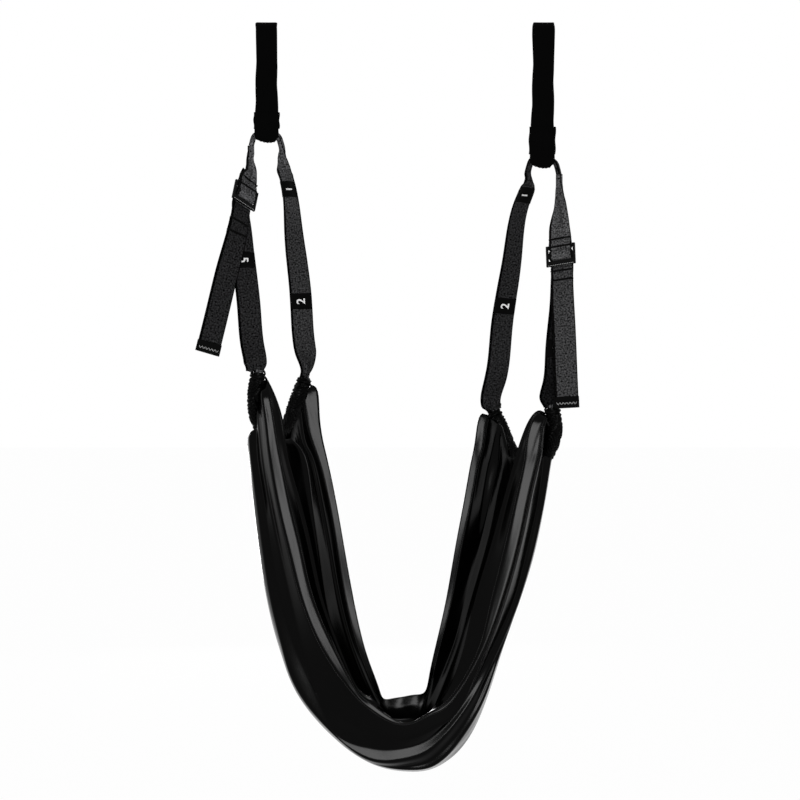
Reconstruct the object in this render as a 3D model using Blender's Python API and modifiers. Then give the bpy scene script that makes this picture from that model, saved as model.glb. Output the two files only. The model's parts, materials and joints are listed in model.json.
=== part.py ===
"""Back-bend sling: two hanger loops, two adjustable webbing straps and a gathered cloth sling.

Metres, +Z up, +X right, front towards -Y. The origin lies on the axis of the bar that the two
hanger loops hang on, midway between them. Left and right are as seen from the front.
"""

import math

import bmesh
import bpy
import numpy as np
from mathutils import Matrix, Vector

MM = 0.001

# Driving sizes of the whole sling
ANCHOR_SPACING = 0.457
LEFT_EYE_DROP = 0.169
RIGHT_EYE_DROP = 0.211
LEFT_LEG_DROP = 0.388
RIGHT_LEG_DROP = 0.402
MOUTH_SPACING = 0.190
SLING_DROP = 0.638
SEAT_LENGTH = 0.260

# Webbing
WEBBING_WIDTH = 0.038
WEBBING_THICKNESS = 0.0016
BUNCH_RADIUS = 0.006
TOUCH_GAP = 0.0003

# Hanger loops
HANGER_WIDTH = 0.036
HANGER_THICKNESS = 0.0022
HANGER_SLIT = 0.0004
BAR_EYE_RADIUS = 0.015
BAR_EYE_THROAT = 0.046
SADDLE_EYE_THROAT = 0.024

# Saddle and legs
LEG_STANDOFF = 0.0255
SADDLE_BEND = 0.0075
SADDLE_DEPTH = 0.020
SADDLE_GAP = 0.0006
REAR_LEG_BOW = 0.0055
LEG_STATIONS = 36
LEFT_LEG_BOW = 0.016
RIGHT_LEG_BOW = 0.009
LEFT_REAR_INSET = 0.065
RIGHT_REAR_INSET = 0.084
REAR_MOUTH_DROP = 0.009
MOUTH_LEAD = 0.012
MOUTH_SETBACK = 0.004
LEG_EASE = 0.0011
LEG_START = 0.0013
LEG_FLAT = 0.005
LEG_EXIT = 0.0145
LEG_TURN = 0.016
CORD_TRIM = 0.001
LEFT_SADDLE_BUNCH = 0.055
RIGHT_SADDLE_BUNCH = 0.0265
REAR_BUNCH = 0.030
FRONT_BUNCH = 0.028
FRONT_MOUTH_OUTSET = 0.005
ARC_STEPS = 6

# Slider
SLIDER_THICKNESS = 0.004
SLIDER_SIDE_BAR = 0.004
SLIDER_CLEARANCE = 0.004
TOP_BAR = 0.006
UPPER_SLOT = 0.007
MIDDLE_BAR = 0.009
LOWER_SLOT = 0.0045
BOTTOM_BAR = 0.009
SLIDER_EDGE = 0.0008
LEFT_SLIDER_DROP = 0.089
RIGHT_SLIDER_DROP = 0.145
LEFT_SLIDER_TURN = 48.0
RIGHT_SLIDER_TURN = -25.0
LEFT_SLIDER_LEAN = 16.0
RIGHT_SLIDER_LEAN = -4.0
BEVEL_SEGMENTS = 2
BEVEL_ANGLE = 60.0

# The sewn end of the upper strap, and how the plies turn round the slider's bars
SEWN_OVERLAP = 0.045
SEAM_RISE = 0.008
STRAP_DROP = 0.012
STRAP_BOW = 0.001
STRAP_BUNCH = 0.9
PLY_TURN = 0.0022
TURN_TUCK = 0.0006
WRAP_TUCK = 0.0008
WRAP_RISE = 0.0016

# Tails
LEFT_TAIL_LENGTH = 0.225
RIGHT_TAIL_LENGTH = 0.212
LEFT_TAIL_SHIFT = (-0.045, -0.068)
RIGHT_TAIL_SHIFT = (0.001, -0.073)
LEFT_TAIL_FACE = (1.0, 0.35, 0.0)
RIGHT_TAIL_FACE = (1.0, -0.15, 0.0)
TAIL_STATIONS = 14
TAIL_GAP = 0.0012
TAIL_LEAD = 0.034
TAIL_LIFT = 0.002
TAIL_END_LENGTH = 0.018
TAIL_END_THICKNESS = 0.0046
TAIL_END_WIDTH = 0.0395

# Number labels
LABEL_LENGTH = 0.027
LABEL_WIDTH = 0.0376
LABEL_THICKNESS = 0.0006
LABEL_PITCH = 0.190
LEFT_FIRST_LABEL = 0.090
RIGHT_FIRST_LABEL = 0.061
LEFT_THIRD_LABEL = 0.2635
RIGHT_THIRD_LABEL = 0.273
LEFT_FIFTH_LABEL = 0.110
RIGHT_FIFTH_LABEL = 0.157
LEFT_SIXTH_LABEL = 0.044
RIGHT_SIXTH_LABEL = 0.016
WRAPPED_LABEL = (-150.0, -30.0)
WRAPPED_STEPS = (5, 7)

# Tunnels and cloth
TUNNEL_WALL = 0.001
TUNNEL_RADIUS = 0.0079
TUNNEL_NECK = 0.0069
RUFFLE_HEIGHT = 0.0032
RUFFLES = 9
TUNNEL_STATIONS = 37
TUNNEL_SIDES = 12
CORD_SIDES = 8
SADDLE_SIDES = 12
MOUTH_SHARE = 0.04
LEFT_TUNNEL_DIP = 0.100
RIGHT_TUNNEL_DIP = 0.088
TUNNEL_BELLY = 0.021
CLOTH_THICKNESS = 0.0014
CLOTH_ROWS = 23
CLOTH_COLUMNS = 26
FOLD_DEPTH = 0.0085
FOLDS = 5
FOLD_START = 0.12
FOLD_DRIFT = 0.9
FOLD_FADE = 0.08
SEAT_SMOOTHING = 0.55
SEAT_SPREAD = 0.16
BULGE_POWER = 2.3
BELLY_LAG = 0.030
JOIN_SHARE = 0.12
JOIN_STEP = 0.01
JOIN_REACH = 0.06
EDGE_TRIM = 0.03
EDGE_GAP = 0.0007
EDGE_INWARD = 0.45
EDGE_OUTWARD = 0.70
HEM_WIDTH = 0.021
HEM_THICKNESS = 0.0012
HEM_INSET = 0.08
HEM_LIFT = 3.0 * TOUCH_GAP

# Steps for reading lines and surfaces finely before they are shared out
LINE_STEPS = 101
FINE_STEPS = 121
LENGTH_STEPS = 400

# How the tunnel's line runs between its mouths: share of the way, dip and outward belly
TUNNEL_LINE = ((0.0, 0.0, 0.0), (0.05, 0.41, 0.45), (0.21, 0.80, 0.90), (0.5, 1.0, 1.0),
               (0.74, 0.93, 0.78), (0.92, 0.56, 0.67), (1.0, 0.0, 0.0))

# How the rear leg's face turns inwards: share of its length and the slope of its width
REAR_LEG_TURN = ((0.0, 1.2), (0.21, 1.2), (0.46, 0.43), (0.63, 0.2), (0.85, 0.1), (1.0, 0.6))

# Lines of the hanging cloth, left to right, each (across, down): across is -1 at the left front
# mouth and 1 at the right one, and down is a share of the drop below the line of the mouths
FRONT_HEM_LINE = ((-0.95, 0.04), (-0.92, 0.13), (-0.85, 0.27), (-0.76, 0.42), (-0.66, 0.55),
                  (-0.55, 0.66), (-0.39, 0.75), (-0.21, 0.80), (0.0, 0.825), (0.20, 0.79),
                  (0.39, 0.73), (0.54, 0.63), (0.65, 0.51), (0.75, 0.39), (0.84, 0.27),
                  (0.92, 0.12), (0.97, 0.03))
BELLY_LINE = ((-0.99, 0.16), (-1.045, 0.20), (-1.02, 0.29), (-0.99, 0.45), (-0.92, 0.60),
              (-0.81, 0.73), (-0.63, 0.85), (-0.40, 0.945), (-0.04, 0.985), (0.21, 0.965),
              (0.42, 0.875), (0.555, 0.75), (0.625, 0.62), (0.765, 0.45), (0.87, 0.27),
              (0.955, 0.165), (0.94, 0.14))
REAR_HEM_LINE = ((-0.69, 0.04), (-0.59, 0.14), (-0.53, 0.28), (-0.43, 0.44), (-0.37, 0.58),
                 (-0.285, 0.70), (-0.205, 0.80), (-0.125, 0.845), (0.015, 0.837), (0.15, 0.815),
                 (0.22, 0.71), (0.30, 0.59), (0.375, 0.44), (0.44, 0.30), (0.50, 0.18),
                 (0.55, 0.09), (0.61, 0.045))

COLOURS = {
    "hanger": (0.010, 0.010, 0.011, 1.0),
    "webbing": (0.030, 0.030, 0.032, 1.0),
    "label": (0.008, 0.008, 0.008, 1.0),
    "slider": (0.012, 0.012, 0.013, 1.0),
    "cloth": (0.026, 0.026, 0.028, 1.0),
}
ROUGHNESS = {"hanger": 0.85, "webbing": 0.75, "label": 0.6, "slider": 0.35, "cloth": 0.65}


def clear_scene():
    """Remove every object of the open scene."""
    for obj in list(bpy.data.objects):
        bpy.data.objects.remove(obj, do_unlink=True)


def new_collection(name):
    """Make a collection under the scene's own."""
    collection = bpy.data.collections.new(name)
    bpy.context.scene.collection.children.link(collection)
    return collection


def finish(obj, look):
    """Give the object its own material and move it to the sling's collection."""
    material = bpy.data.materials.new(obj.name)
    material.use_nodes = True
    shader = material.node_tree.nodes["Principled BSDF"]
    shader.inputs["Base Color"].default_value = COLOURS[look]
    shader.inputs["Roughness"].default_value = ROUGHNESS[look]
    obj.data.materials.append(material)
    for collection in list(obj.users_collection):
        collection.objects.unlink(obj)
    PARTS.objects.link(obj)
    return obj


def unit(vectors):
    """Scale one vector or rows of vectors to length one."""
    vectors = np.asarray(vectors, dtype=float)
    return vectors / np.linalg.norm(vectors, axis=-1, keepdims=True)


def spline(knots, places):
    """Read a natural cubic spline through the knots at places from 0 to 1 of its chord length."""
    knots = np.asarray(knots, dtype=float)
    steps = np.linalg.norm(np.diff(knots, axis=0), axis=1)
    stations = np.concatenate([[0.0], np.cumsum(steps)]) / steps.sum()
    span = np.diff(stations)
    count = len(stations)
    system = np.zeros((count, count))
    target = np.zeros_like(knots)
    system[0, 0] = 1.0
    system[-1, -1] = 1.0
    for i in range(1, count - 1):
        system[i, i - 1:i + 2] = span[i - 1], 2.0 * (span[i - 1] + span[i]), span[i]
        rise_after = (knots[i + 1] - knots[i]) / span[i]
        rise_before = (knots[i] - knots[i - 1]) / span[i - 1]
        target[i] = 6.0 * (rise_after - rise_before)
    bend = np.linalg.solve(system, target)
    places = np.clip(np.asarray(places, dtype=float), 0.0, 1.0)
    left = np.clip(np.searchsorted(stations, places, side="right") - 1, 0, count - 2)
    after = (places - stations[left]) / span[left]
    before = 1.0 - after
    after, before = after[:, None], before[:, None]
    square = (span[left] ** 2 / 6.0)[:, None]
    bending = (before ** 3 - before) * bend[left] + (after ** 3 - after) * bend[left + 1]
    return before * knots[left] + after * knots[left + 1] + square * bending


def even_places(knots, count):
    """Places along a spline that lie evenly in true length."""
    fine = np.linspace(0.0, 1.0, LENGTH_STEPS)
    run = run_along(spline(knots, fine))
    return np.interp(np.linspace(0.0, run[-1], count), run, fine)


def run_along(points):
    """Length run at each point of a line."""
    steps = np.linalg.norm(np.diff(points, axis=0), axis=1)
    return np.concatenate([[0.0], np.cumsum(steps)])


def tangents(points):
    """Unit directions along a line of points."""
    return unit(np.gradient(np.asarray(points), axis=0))


def frames(points, across):
    """Square the across vectors to the line and give (across, normal) at each point."""
    along = tangents(points)
    across = np.asarray(across, dtype=float)
    across = unit(across - np.sum(across * along, axis=1, keepdims=True) * along)
    return across, np.cross(along, across)


def blend_rows(rows, places):
    """Mix rows of vectors or sizes given at their own places, each row (place, value)."""
    stations = [row[0] for row in rows]
    values = np.array([np.atleast_1d(row[1]) for row in rows], dtype=float)
    mixed = [np.interp(places, stations, values[:, k]) for k in range(values.shape[1])]
    return np.stack(mixed, axis=1)


def face_outward(mesh):
    """Turn a closed mesh right side out."""
    shape = bmesh.new()
    shape.from_mesh(mesh)
    if shape.calc_volume(signed=True) < 0.0:
        bmesh.ops.reverse_faces(shape, faces=shape.faces)
    shape.to_mesh(mesh)
    shape.free()


def loft(name, rings, look, split=False):
    """Join rings of equal count into one closed body, capped flat.

    Split halves every side, the second half of them along the other diagonal, so that the walls
    of a thin twisted body stay parallel.
    """
    rings = np.asarray(rings)
    count, sides = rings.shape[:2]
    faces = []
    for i in range(count - 1):
        for j in range(sides):
            k = (j + 1) % sides
            near, far = (i * sides + j, i * sides + k), ((i + 1) * sides + k, (i + 1) * sides + j)
            if not split:
                faces.append((*near, *far))
            elif j < sides // 2:
                faces += [(*near, far[1]), (near[1], *far)]
            else:
                faces += [(*near, far[0]), (near[0], *far)]
    faces.append(tuple(reversed(range(sides))))
    faces.append(tuple((count - 1) * sides + j for j in range(sides)))
    mesh = bpy.data.meshes.new(name)
    mesh.from_pydata(rings.reshape(-1, 3).tolist(), [], faces)
    mesh.update()
    face_outward(mesh)
    obj = bpy.data.objects.new(name, mesh)
    PARTS.objects.link(obj)
    return finish(obj, look)


def strap(name, points, across, width, thickness, look):
    """Loft a strap: an eight-sided section, flat or bunched, carried along a line of points."""
    across, normal = frames(points, across)
    width = np.broadcast_to(np.asarray(width, dtype=float), (len(points),))
    thickness = np.broadcast_to(np.asarray(thickness, dtype=float), (len(points),))
    cut = 0.3 * np.minimum(width, thickness)
    half_w, half_t = width / 2.0, thickness / 2.0
    corners = []
    for sign_w, sign_t, long_side in ((1, 1, 0), (1, 1, 1), (-1, 1, 1), (-1, 1, 0),
                                      (-1, -1, 0), (-1, -1, 1), (1, -1, 1), (1, -1, 0)):
        reach_w = half_w - cut * long_side
        reach_t = half_t - cut * (1 - long_side)
        corners.append((sign_w * reach_w, sign_t * reach_t))
    rings = [points + across * w[:, None] + normal * t[:, None] for w, t in corners]
    return loft(name, np.stack(rings, axis=1), look)


def sheet(name, grid, thickness, look, around=False, closed=False):
    """A surface on a grid of points, thickened evenly. Around joins the rows, closed the ends."""
    grid = np.asarray(grid)
    rows, columns = grid.shape[:2]
    faces = []
    for i in range(rows if closed else rows - 1):
        for j in range(columns if around else columns - 1):
            k, m = (j + 1) % columns, (i + 1) % rows
            near, far = (i * columns + j, i * columns + k), (m * columns + k, m * columns + j)
            faces += [(near[0], near[1], far[0]), (near[0], far[0], far[1])]
    mesh = bpy.data.meshes.new(name)
    mesh.from_pydata(grid.reshape(-1, 3).tolist(), [], faces)
    mesh.update()
    obj = bpy.data.objects.new(name, mesh)
    PARTS.objects.link(obj)
    wall = obj.modifiers.new("wall", "SOLIDIFY")
    wall.thickness = thickness
    wall.offset = 0.0
    wall.use_even_offset = True
    return finish(obj, look)


def eye_outline(radius, throat_offset, throat_distance, arc_steps):
    """Half of an eye in its own plane, from the crown (0, radius) down to the throat.

    An arc of the radius about (0, 0) ends where its tangent reaches the throat point.
    """
    reach = math.hypot(throat_offset, throat_distance)
    bearing = math.atan2(-throat_distance, throat_offset) + math.acos(radius / reach)
    angles = np.linspace(math.pi / 2.0, bearing, arc_steps + 1)
    arc = np.stack([radius * np.cos(angles), radius * np.sin(angles)], axis=1)
    return np.vstack([arc, [[throat_offset, -throat_distance]]])


class Side:
    """One side's fixed points and directions, worked out from the driving sizes."""

    def __init__(self, name):
        left = name == "left"
        self.name = name
        self.sign = -1.0 if left else 1.0
        self.eye_drop = LEFT_EYE_DROP if left else RIGHT_EYE_DROP
        self.leg_drop = LEFT_LEG_DROP if left else RIGHT_LEG_DROP
        self.rear_inset = LEFT_REAR_INSET if left else RIGHT_REAR_INSET
        self.tunnel_dip = LEFT_TUNNEL_DIP if left else RIGHT_TUNNEL_DIP
        self.slider_drop = LEFT_SLIDER_DROP if left else RIGHT_SLIDER_DROP
        self.tail_length = LEFT_TAIL_LENGTH if left else RIGHT_TAIL_LENGTH
        self.bow = LEFT_LEG_BOW if left else RIGHT_LEG_BOW
        self.saddle_bunch = LEFT_SADDLE_BUNCH if left else RIGHT_SADDLE_BUNCH
        self.first_label = LEFT_FIRST_LABEL if left else RIGHT_FIRST_LABEL
        self.third_label = LEFT_THIRD_LABEL if left else RIGHT_THIRD_LABEL
        self.fifth_label = LEFT_FIFTH_LABEL if left else RIGHT_FIFTH_LABEL
        self.sixth_label = LEFT_SIXTH_LABEL if left else RIGHT_SIXTH_LABEL
        self.tail_shift = LEFT_TAIL_SHIFT if left else RIGHT_TAIL_SHIFT
        self.tail_face = LEFT_TAIL_FACE if left else RIGHT_TAIL_FACE
        self.saddle = np.array([self.sign * ANCHOR_SPACING / 2.0, 0.0, -self.eye_drop])
        outward = SADDLE_SLOPE * self.sign * LEG_STANDOFF
        below = np.array([0.0, 0.0, -SADDLE_DEPTH])
        self.outer_top = self.saddle + outward + below
        self.inner_top = self.saddle - outward + below
        front_x = self.sign * (ANCHOR_SPACING / 2.0 + FRONT_MOUTH_OUTSET)
        self.front_mouth = np.array([front_x, -MOUTH_SPACING / 2.0, self.saddle[2] - self.leg_drop])
        self.rear_mouth = self.front_mouth + np.array(
            [-self.sign * self.rear_inset, MOUTH_SPACING, -REAR_MOUTH_DROP])
        turn = math.radians(LEFT_SLIDER_TURN if left else RIGHT_SLIDER_TURN)
        lean = math.radians(LEFT_SLIDER_LEAN if left else RIGHT_SLIDER_LEAN)
        level = np.array([math.cos(turn), math.sin(turn), 0.0])
        pull = unit(self.front_mouth - self.outer_top)
        self.rear = unit(np.cross(level, pull))
        self.load = pull - np.dot(pull, self.rear) * self.rear
        level = np.cross(self.rear, -self.load)
        self.bars = level * math.cos(lean) + self.load * math.sin(lean)
        self.up = np.cross(self.bars, self.rear)
        share = self.slider_drop / self.leg_drop
        on_line = self.outer_top + (self.front_mouth - self.outer_top) * share
        shift = self.sign * self.bow * np.array([1.0, 0.0, 0.0])
        self.slider = on_line + shift - self.rear * LEG_DEPTH

    def at(self, depth, height):
        """A point of the slider's middle plane: depth to its rear, height along the strap."""
        return self.slider + self.rear * depth + self.up * height


# Heights in the slider, from the middle bar's centre
MIDDLE_TOP = MIDDLE_BAR / 2.0
SLOT_TOP = MIDDLE_TOP + UPPER_SLOT
SLIDER_TOP = SLOT_TOP + TOP_BAR
SLOT_FLOOR = -MIDDLE_TOP - LOWER_SLOT
SLIDER_FOOT = SLOT_FLOOR - BOTTOM_BAR
PLY_DEPTH = SLIDER_THICKNESS / 2.0 + TOUCH_GAP + WEBBING_THICKNESS / 2.0
LEG_DEPTH = PLY_DEPTH + TOUCH_GAP + WEBBING_THICKNESS
PLY_PITCH = WEBBING_THICKNESS + TOUCH_GAP

SADDLE_SLOPE = unit([ANCHOR_SPACING, 0.0, LEFT_EYE_DROP - RIGHT_EYE_DROP])


def hanger(side):
    """A strap closed into a loop: a bar eye at the top and an eye for the webbing below."""
    ply = (HANGER_THICKNESS + HANGER_SLIT) / 2.0
    top_radius = BAR_EYE_RADIUS + HANGER_THICKNESS / 2.0
    low_radius = BUNCH_RADIUS + TOUCH_GAP * 1.5 + HANGER_THICKNESS / 2.0
    top = eye_outline(top_radius, ply, BAR_EYE_THROAT, 10)
    low = eye_outline(low_radius, ply, SADDLE_EYE_THROAT, 7)
    drop = side.eye_drop
    rear_half = [(y, z) for y, z in top] + [(y, -drop - z) for y, z in reversed(low)]
    front_half = [(-y, z) for y, z in reversed(rear_half[1:-1])]
    outline = np.array(rear_half + front_half)
    share = np.clip(-outline[:, 1] / drop, 0.0, 1.0)
    rows = []
    for (y, z), part in zip(outline, share):
        across = unit(np.array([1.0, 0.0, 0.0]) * (1.0 - part) + SADDLE_SLOPE * part)
        centre = np.array([side.saddle[0], y, z])
        rows.append([centre - across * HANGER_WIDTH / 2.0, centre + across * HANGER_WIDTH / 2.0])
    return sheet(side.name + "_hanger", rows, HANGER_THICKNESS, "hanger", closed=True)


def saddle(side):
    """The bunched webbing where it crosses the hanger's lower eye, a round arch."""
    flat = LEG_STANDOFF - SADDLE_BEND
    line = []
    for end in (-1.0, 1.0):
        arc = []
        for step in range(ARC_STEPS + 1):
            angle = math.pi / 2.0 * step / ARC_STEPS
            x = flat + SADDLE_BEND * math.sin(angle)
            z = -SADDLE_BEND * (1.0 - math.cos(angle))
            arc.append((end * x, z))
        arc.append((end * LEG_STANDOFF, -SADDLE_DEPTH + SADDLE_GAP))
        line += list(reversed(arc)) if end < 0 else arc
    points = [side.saddle + SADDLE_SLOPE * x + np.array([0.0, 0.0, z]) for x, z in line]
    round_cord(side.name + "_saddle", points, BUNCH_RADIUS, "webbing", SADDLE_SIDES)


def round_cord(name, points, radius, look, sides):
    """A round bundle of webbing along a line, its radius one value or one for each point."""
    points = np.asarray(points)
    across, normal = frames(points, np.tile([0.0, 1.0, 0.0], (len(points), 1)))
    radius = np.broadcast_to(np.asarray(radius, dtype=float), (len(points),))
    angles = np.linspace(0.0, 2.0 * math.pi, sides, endpoint=False)
    rings = [points + (across * math.cos(a) + normal * math.sin(a)) * radius[:, None]
             for a in angles]
    loft(name, np.stack(rings, axis=1), look)


def bunched(amount):
    """Width and thickness of webbing, from flat at 0 to folded into a round bundle at 1."""
    eased = amount * amount * (3.0 - 2.0 * amount)
    width = WEBBING_WIDTH + (2.0 * BUNCH_RADIUS - WEBBING_WIDTH) * eased
    thickness = WEBBING_THICKNESS + (1.6 * BUNCH_RADIUS - WEBBING_THICKNESS) * eased
    return width, thickness


def leg_widths(places, length, top_bunch, bottom_bunch):
    """Width and thickness along a leg: bunched at its ends and flat between."""
    bunch = np.maximum(1.0 - (1.0 - places) * length / bottom_bunch, 0.0)
    if top_bunch:
        bunch = np.maximum(bunch, 1.0 - places * length / top_bunch)
    return bunched(bunch)


def rear_leg_line(side):
    """Knots of the rear leg, bowed a little towards the middle of the sling."""
    start, end = side.inner_top, side.rear_mouth
    knots = [start, start + np.array([0.0, 0.0, -MOUTH_LEAD])]
    for share in (0.12, 0.35, 0.65, 0.88):
        bow = REAR_LEG_BOW * (1.0 - (2.0 * share - 1.0) ** 4)
        knots.append(start + (end - start) * share - np.array([side.sign * bow, 0.0, 0.0]))
    inside = tangents(spline(tunnel_line(side), np.linspace(0.9, 1.0, 12)))[-1]
    return np.array(knots + [end + inside * MOUTH_LEAD, end])


def rear_leg(side):
    """The inner leg, from the saddle down to the tunnel's rear mouth."""
    knots = rear_leg_line(side)
    places = even_places(knots, LEG_STATIONS)
    points = spline(knots, places)
    length = np.linalg.norm(knots[-1] - knots[0])
    width, thickness = leg_widths(places, length, side.saddle_bunch, REAR_BUNCH)
    turn = [(share, [1.0, side.sign * slope, 0.0]) for share, slope in REAR_LEG_TURN]
    strap(side.name + "_rear_leg", points, blend_rows(turn, places), width, thickness, "webbing")
    return points, blend_rows(turn, places)


def front_leg(side):
    """The load leg: from behind the slider's middle bar down to the tunnel's front mouth."""
    start = side.at(LEG_DEPTH, -LEG_START)
    ease = side.rear * LEG_EASE
    knots = [start, start - side.up * LEG_FLAT, start - side.up * LEG_EXIT + ease,
             start + (side.load - side.up) * LEG_TURN + ease * 1.2]
    for share, bow in ((0.30, 0.5), (0.65, 0.35), (0.88, 0.2)):
        point = start + (side.front_mouth - start) * share
        knots.append(point + np.array([side.sign * side.bow * bow, 0.0, 0.0]))
    inside = tangents(spline(tunnel_line(side), np.linspace(0.0, 0.1, 12)))[0]
    knots = np.array(knots + [side.front_mouth - inside * MOUTH_LEAD, side.front_mouth])
    places = even_places(knots, LEG_STATIONS)
    points = spline(knots, places)
    length = np.linalg.norm(knots[-1] - knots[0])
    width, thickness = leg_widths(places, length, None, FRONT_BUNCH)
    face = [1.0, -side.sign * 0.12, 0.0]
    turn = [(0.0, side.bars), (0.12, side.bars), (0.45, face), (0.9, face),
            (1.0, [1.0, -side.sign * 0.5, 0.0])]
    strap(side.name + "_front_leg", points, blend_rows(turn, places), width, thickness, "webbing")
    return points, blend_rows(turn, places)


def half_turn(side, centre_height, reach):
    """A U of webbing round a bar, front ply to rear ply: over it, or under if reach is negative."""
    points = []
    for angle in np.linspace(0.0, math.pi, ARC_STEPS + 1):
        depth = -PLY_DEPTH * math.cos(angle)
        points.append(side.at(depth, centre_height + reach * math.sin(angle)))
    return points


# The wrap's way back through the lower slot: shares of its depth and of the slot's height
LOWER_TURN = ((-1.0, 0.62), (-0.87, 0.26), (-0.52, 0.06), (0.0, 0.0), (0.52, -0.07),
              (0.90, -0.30), (1.0, -0.70))


def upper_strap(side):
    """The sewn end: down from the saddle, round the slider's top bar and back up, doubled."""
    seam = SLIDER_TOP + SEAM_RISE
    close = PLY_PITCH / 2.0
    top = side.outer_top
    joint = side.at(-close, seam + SEWN_OVERLAP / 2.0)
    bow = np.array([side.sign * STRAP_BOW, 0.0, 0.0])
    descent = spline([top, top - np.array([0.0, 0.0, STRAP_DROP]), top * 0.45 + joint * 0.55 + bow,
                      joint], np.linspace(0.0, 1.0, 9))
    line = list(descent) + [side.at(-close, seam), side.at(-PLY_DEPTH, SLIDER_TOP - MM)]
    line += half_turn(side, SLOT_TOP + TOUCH_GAP, -PLY_TURN)
    line += [side.at(PLY_DEPTH, SLIDER_TOP - MM), side.at(close, seam)]
    line += [side.at(close, seam + SEWN_OVERLAP / 2.0 * share) for share in (0.35, 0.65)]
    points = np.array(line)
    run = run_along(points)
    to_joint = run[len(descent) - 1]
    width, thickness = bunched(np.clip(1.0 - run / (to_joint * STRAP_BUNCH), 0.0, 1.0))
    turned = np.minimum(run / to_joint, 1.0)[:, None]
    across = np.array([1.0, -side.sign * 0.9, 0.0]) * (1.0 - turned) + side.bars * turned
    strap(side.name + "_upper_strap", points, across, width, thickness, "webbing")


def bar_wrap(side):
    """The load leg's turn: over the middle bar, down its front and back through the lower slot."""
    over = half_turn(side, MIDDLE_TOP + TOUCH_GAP - TURN_TUCK, PLY_TURN)[::-1]
    middle = -MIDDLE_TOP - LOWER_SLOT / 2.0
    through = [side.at(depth * PLY_DEPTH, middle + height * LOWER_SLOT)
               for depth, height in LOWER_TURN]
    rear_end = side.at(PLY_DEPTH, SLIDER_FOOT - TOUCH_GAP)
    rear_start = [side.at(LEG_DEPTH, -WRAP_TUCK), side.at(LEG_DEPTH - TURN_TUCK, WRAP_RISE)]
    points = np.array(rear_start + over + through + [rear_end])
    across = np.tile(side.bars, (len(points), 1))
    strap(side.name + "_bar_wrap", points, across, WEBBING_WIDTH, WEBBING_THICKNESS, "webbing")


def slider(side):
    """A three-bar slider: a bevelled plate with two slots, its middle bar ribbed."""
    height = SLIDER_TOP - SLIDER_FOOT
    width = WEBBING_WIDTH + SLIDER_CLEARANCE + 2.0 * SLIDER_SIDE_BAR
    centre = (SLIDER_TOP + SLIDER_FOOT) / 2.0
    place = Matrix.Identity(4)
    for column, axis in enumerate((side.bars, side.rear, side.up, side.slider)):
        for row in range(3):
            place[row][column] = axis[row]
    plate = box(side.name + "_slider", (width, SLIDER_THICKNESS, height), (0.0, 0.0, centre))
    slots = ((UPPER_SLOT, MIDDLE_TOP + UPPER_SLOT / 2.0),
             (LOWER_SLOT, -MIDDLE_TOP - LOWER_SLOT / 2.0))
    for number, (gap, level) in enumerate(slots):
        cutter = box(f"{side.name}_slot_{number}",
                     (WEBBING_WIDTH + SLIDER_CLEARANCE, SLIDER_THICKNESS * 3.0, gap),
                     (0.0, 0.0, level))
        cutter.matrix_world = place
        cutter.hide_render = True
        cutter.display_type = "WIRE"
        for collection in list(cutter.users_collection):
            collection.objects.unlink(cutter)
        CUTTERS.objects.link(cutter)
        cut = plate.modifiers.new("slot", "BOOLEAN")
        cut.operation = "DIFFERENCE"
        cut.solver = "EXACT"
        cut.object = cutter
    edge = plate.modifiers.new("edge", "BEVEL")
    edge.width = SLIDER_EDGE
    edge.segments = BEVEL_SEGMENTS
    edge.limit_method = "ANGLE"
    edge.angle_limit = math.radians(BEVEL_ANGLE)
    plate.matrix_world = place
    finish(plate, "slider")


def box(name, size, centre):
    """A cube primitive of the given size, its place in its mesh."""
    bpy.ops.mesh.primitive_cube_add(size=1.0)
    obj = bpy.context.active_object
    obj.name = name
    obj.data.transform(Matrix.Translation(Vector(centre)) @ Matrix.Diagonal((*size, 1.0)))
    return obj


def tail_line(side):
    """Knots of the free tail, from under the slider's bottom bar to its folded end."""
    start = side.at(PLY_DEPTH, SLIDER_FOOT - TAIL_GAP)
    shift_x, shift_y = side.tail_shift
    leave = start - side.up * TAIL_LEAD - side.rear * TAIL_LIFT
    end = start + np.array([shift_x, shift_y, -side.tail_length])
    knots = [start, start - side.up * TAIL_LEAD * 0.4 - side.rear * TAIL_LIFT * 0.2, leave]
    for share in (0.35, 0.7, 1.0):
        knots.append(leave + (end - leave) * share)
    return np.array(knots)


def tail(side):
    """The free end of the webbing, with its folded and stitched end as a second piece."""
    knots = tail_line(side)
    places = even_places(knots, TAIL_STATIONS)
    points = spline(knots, places)
    turn = [(0.0, side.bars), (0.1, side.bars), (0.5, side.tail_face), (1.0, side.tail_face)]
    across = blend_rows(turn, places)
    strap(side.name + "_tail", points, across, WEBBING_WIDTH, WEBBING_THICKNESS, "webbing")
    along = unit(points[-1] - points[-2])
    start = points[-1] + along * TOUCH_GAP
    end_points = [start + along * TAIL_END_LENGTH * share for share in (0.0, 0.5, 1.0)]
    strap(side.name + "_tail_end", np.array(end_points), np.tile(across[-1], (3, 1)),
          TAIL_END_WIDTH, TAIL_END_THICKNESS, "webbing")
    return points, across


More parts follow.
